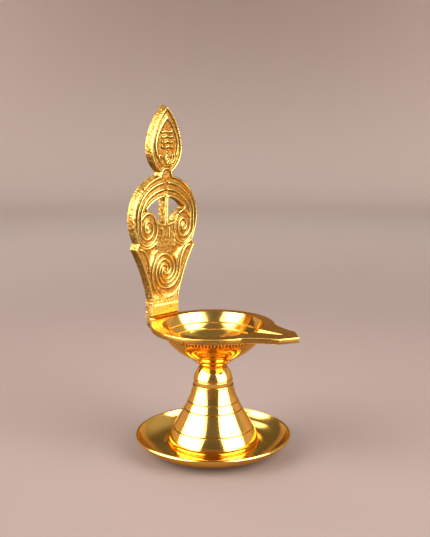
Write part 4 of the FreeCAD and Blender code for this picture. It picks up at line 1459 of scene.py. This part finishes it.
def make_world(studio):
    """Dim room that is a little brighter overhead and on the window's side."""
    world = bpy.data.worlds.new("Room")
    bpy.context.scene.world = world
    world.use_nodes = True
    tree = world.node_tree
    vector = node(tree, "TexCoord").outputs["Generated"]
    rise = node(tree, "SeparateXYZ", {0: vector}).outputs["Z"]
    sky = ranged(tree, rise, *SKY_HEIGHTS, (studio.sky, ZENITH_FACTOR * studio.sky), "SMOOTHSTEP")
    turn = studio.heading + WINDOW_HEADING
    towards = (math.sin(turn) * WINDOW_SIDE, -math.cos(turn) * WINDOW_SIDE, WINDOW_RISE)
    facing = node(tree, "VectorMath", {0: vector, 1: towards}, operation="DOT_PRODUCT")
    side = ranged(tree, facing.outputs["Value"], *WINDOW_REACH, (0.0, studio.window), "SMOOTHSTEP")
    background = tree.nodes["Background"]
    background.inputs["Color"].default_value = ROOM_COLOUR
    tree.links.new(total(tree, sky, side), background.inputs["Strength"])


def make_camera(studio):
    data = bpy.data.cameras.new("Camera")
    data.lens = studio.lens
    data.sensor_width = SENSOR_WIDTH
    data.clip_start = NEAREST_SIGHT
    camera = bpy.data.objects.new("Camera", data)
    camera.location = studio.camera
    camera.rotation_euler = (math.pi / 2 - studio.pitch, 0, studio.heading)
    bpy.context.scene.collection.objects.link(camera)
    bpy.context.scene.camera = camera


# Operators

def finish_piece(context, piece, brass, body, slot, *nodes):
    """Gives a piece its brass and its body, and hides the nodes that it stands for; the slot is not
    used.
    """
    piece.data.materials.append(brass_material(brass, context.scene.lamp_brass))
    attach(piece, body)
    if nodes:
        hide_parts(*nodes)
    return {"FINISHED"}


class MakeDripSaucer(bpy.types.Operator):
    """Make the turned drip saucer"""
    bl_idname = "oil_lamp.drip_saucer"
    bl_label = "Drip saucer"

    def execute(self, context):
        piece = make_drip_saucer(context.scene.lamp_saucer)
        return finish_piece(context, piece, "Polished brass", "stand", "polished_brass", "drip_saucer")


class MakePedestal(bpy.types.Operator):
    """Make the bell-shaped pedestal with its engraved rings"""
    bl_idname = "oil_lamp.pedestal"
    bl_label = "Pedestal"

    def execute(self, context):
        piece = make_pedestal(context.scene.lamp_pedestal)
        return finish_piece(context, piece, "Polished brass", "stand", "polished_brass", "pedestal")


class MakeOilBowl(bpy.types.Operator):
    """Make the oil bowl with its rim, lip, wick channel and lug"""
    bl_idname = "oil_lamp.oil_bowl"
    bl_label = "Oil bowl"

    def execute(self, context):
        piece = make_oil_bowl(context.scene.lamp_bowl, context.scene.lamp_plate)
        return finish_piece(context, piece, "Polished brass", "bowl", "polished_brass", "oil_bowl")


class MakeRimBeads(bpy.types.Operator):
    """Make the row of beads under the rim"""
    bl_idname = "oil_lamp.rim_beads"
    bl_label = "Rim beads"

    def execute(self, context):
        piece = make_rim_beads(context.scene.lamp_bowl, context.scene.lamp_plate)
        return finish_piece(context, piece, "Beaded brass", "bowl", "polished_brass")


class MakeBackPlate(bpy.types.Operator):
    """Make the pierced cast plate with its flame"""
    bl_idname = "oil_lamp.back_plate"
    bl_label = "Back plate"

    def execute(self, context):
        piece = make_back_plate(context.scene.lamp_plate)
        return finish_piece(context, piece, "Cast brass", "bowl", "cast_brass", "back_plate")


class MakeBowlStud(bpy.types.Operator):
    """Make the threaded stud between bowl and pedestal"""
    bl_idname = "oil_lamp.bowl_stud"
    bl_label = "Bowl stud"

    def execute(self, context):
        piece = make_bowl_stud()
        return finish_piece(context, piece, "Thread brass", "stud", "screw_brass", "bowl_stud")


class FinishScrews(bpy.types.Operator):
    """Give the screws and the washer their brass"""
    bl_idname = "oil_lamp.screws"
    bl_label = "Screws and washer"

    def execute(self, context):
        for name in ("base_screw", "base_washer", "plate_screws"):
            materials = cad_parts[name].data.materials
            materials.clear()
            materials.append(brass_material("Screw brass", context.scene.lamp_brass))
        return {"FINISHED"}


class MakeStudio(bpy.types.Operator):
    """Make the floor, the backdrop, the lights and the camera"""
    bl_idname = "oil_lamp.studio"
    bl_label = "Studio"

    def execute(self, context):
        studio = context.scene.lamp_studio
        make_cove(studio)
        make_world(studio)
        for name, (heading, *place, brightness) in SOFTBOXES.items():
            softbox(name, math.degrees(studio.heading) + heading, *place, getattr(studio, brightness))
        make_camera(studio)
        context.scene.view_settings.view_transform = "Standard"
        return {"FINISHED"}


OPERATORS = (MakeDripSaucer, MakePedestal, MakeOilBowl, MakeRimBeads, MakeBackPlate, MakeBowlStud,
             FinishScrews, MakeStudio)


class LampPanel(bpy.types.Panel):
    """Lists the lamp's pieces and the studio"""
    bl_idname = "VIEW3D_PT_oil_lamp"
    bl_label = "Oil lamp"
    bl_space_type = "VIEW_3D"
    bl_region_type = "UI"
    bl_category = "Oil lamp"

    def draw(self, context):
        for operator in OPERATORS:
            self.layout.operator(operator.bl_idname)


CLASSES = (*GROUPS.values(), *OPERATORS, LampPanel)


def register():
    for made in CLASSES:
        bpy.utils.register_class(made)
    for name, group in GROUPS.items():
        setattr(bpy.types.Scene, name, bpy.props.PointerProperty(type=group))


def unregister():
    for name in GROUPS:
        delattr(bpy.types.Scene, name)
    for made in reversed(CLASSES):
        bpy.utils.unregister_class(made)


def main():
    register()
    for operator in OPERATORS:
        family, name = operator.bl_idname.split(".")
        getattr(getattr(bpy.ops, family), name)()


if __name__ == "__main__":
    main()
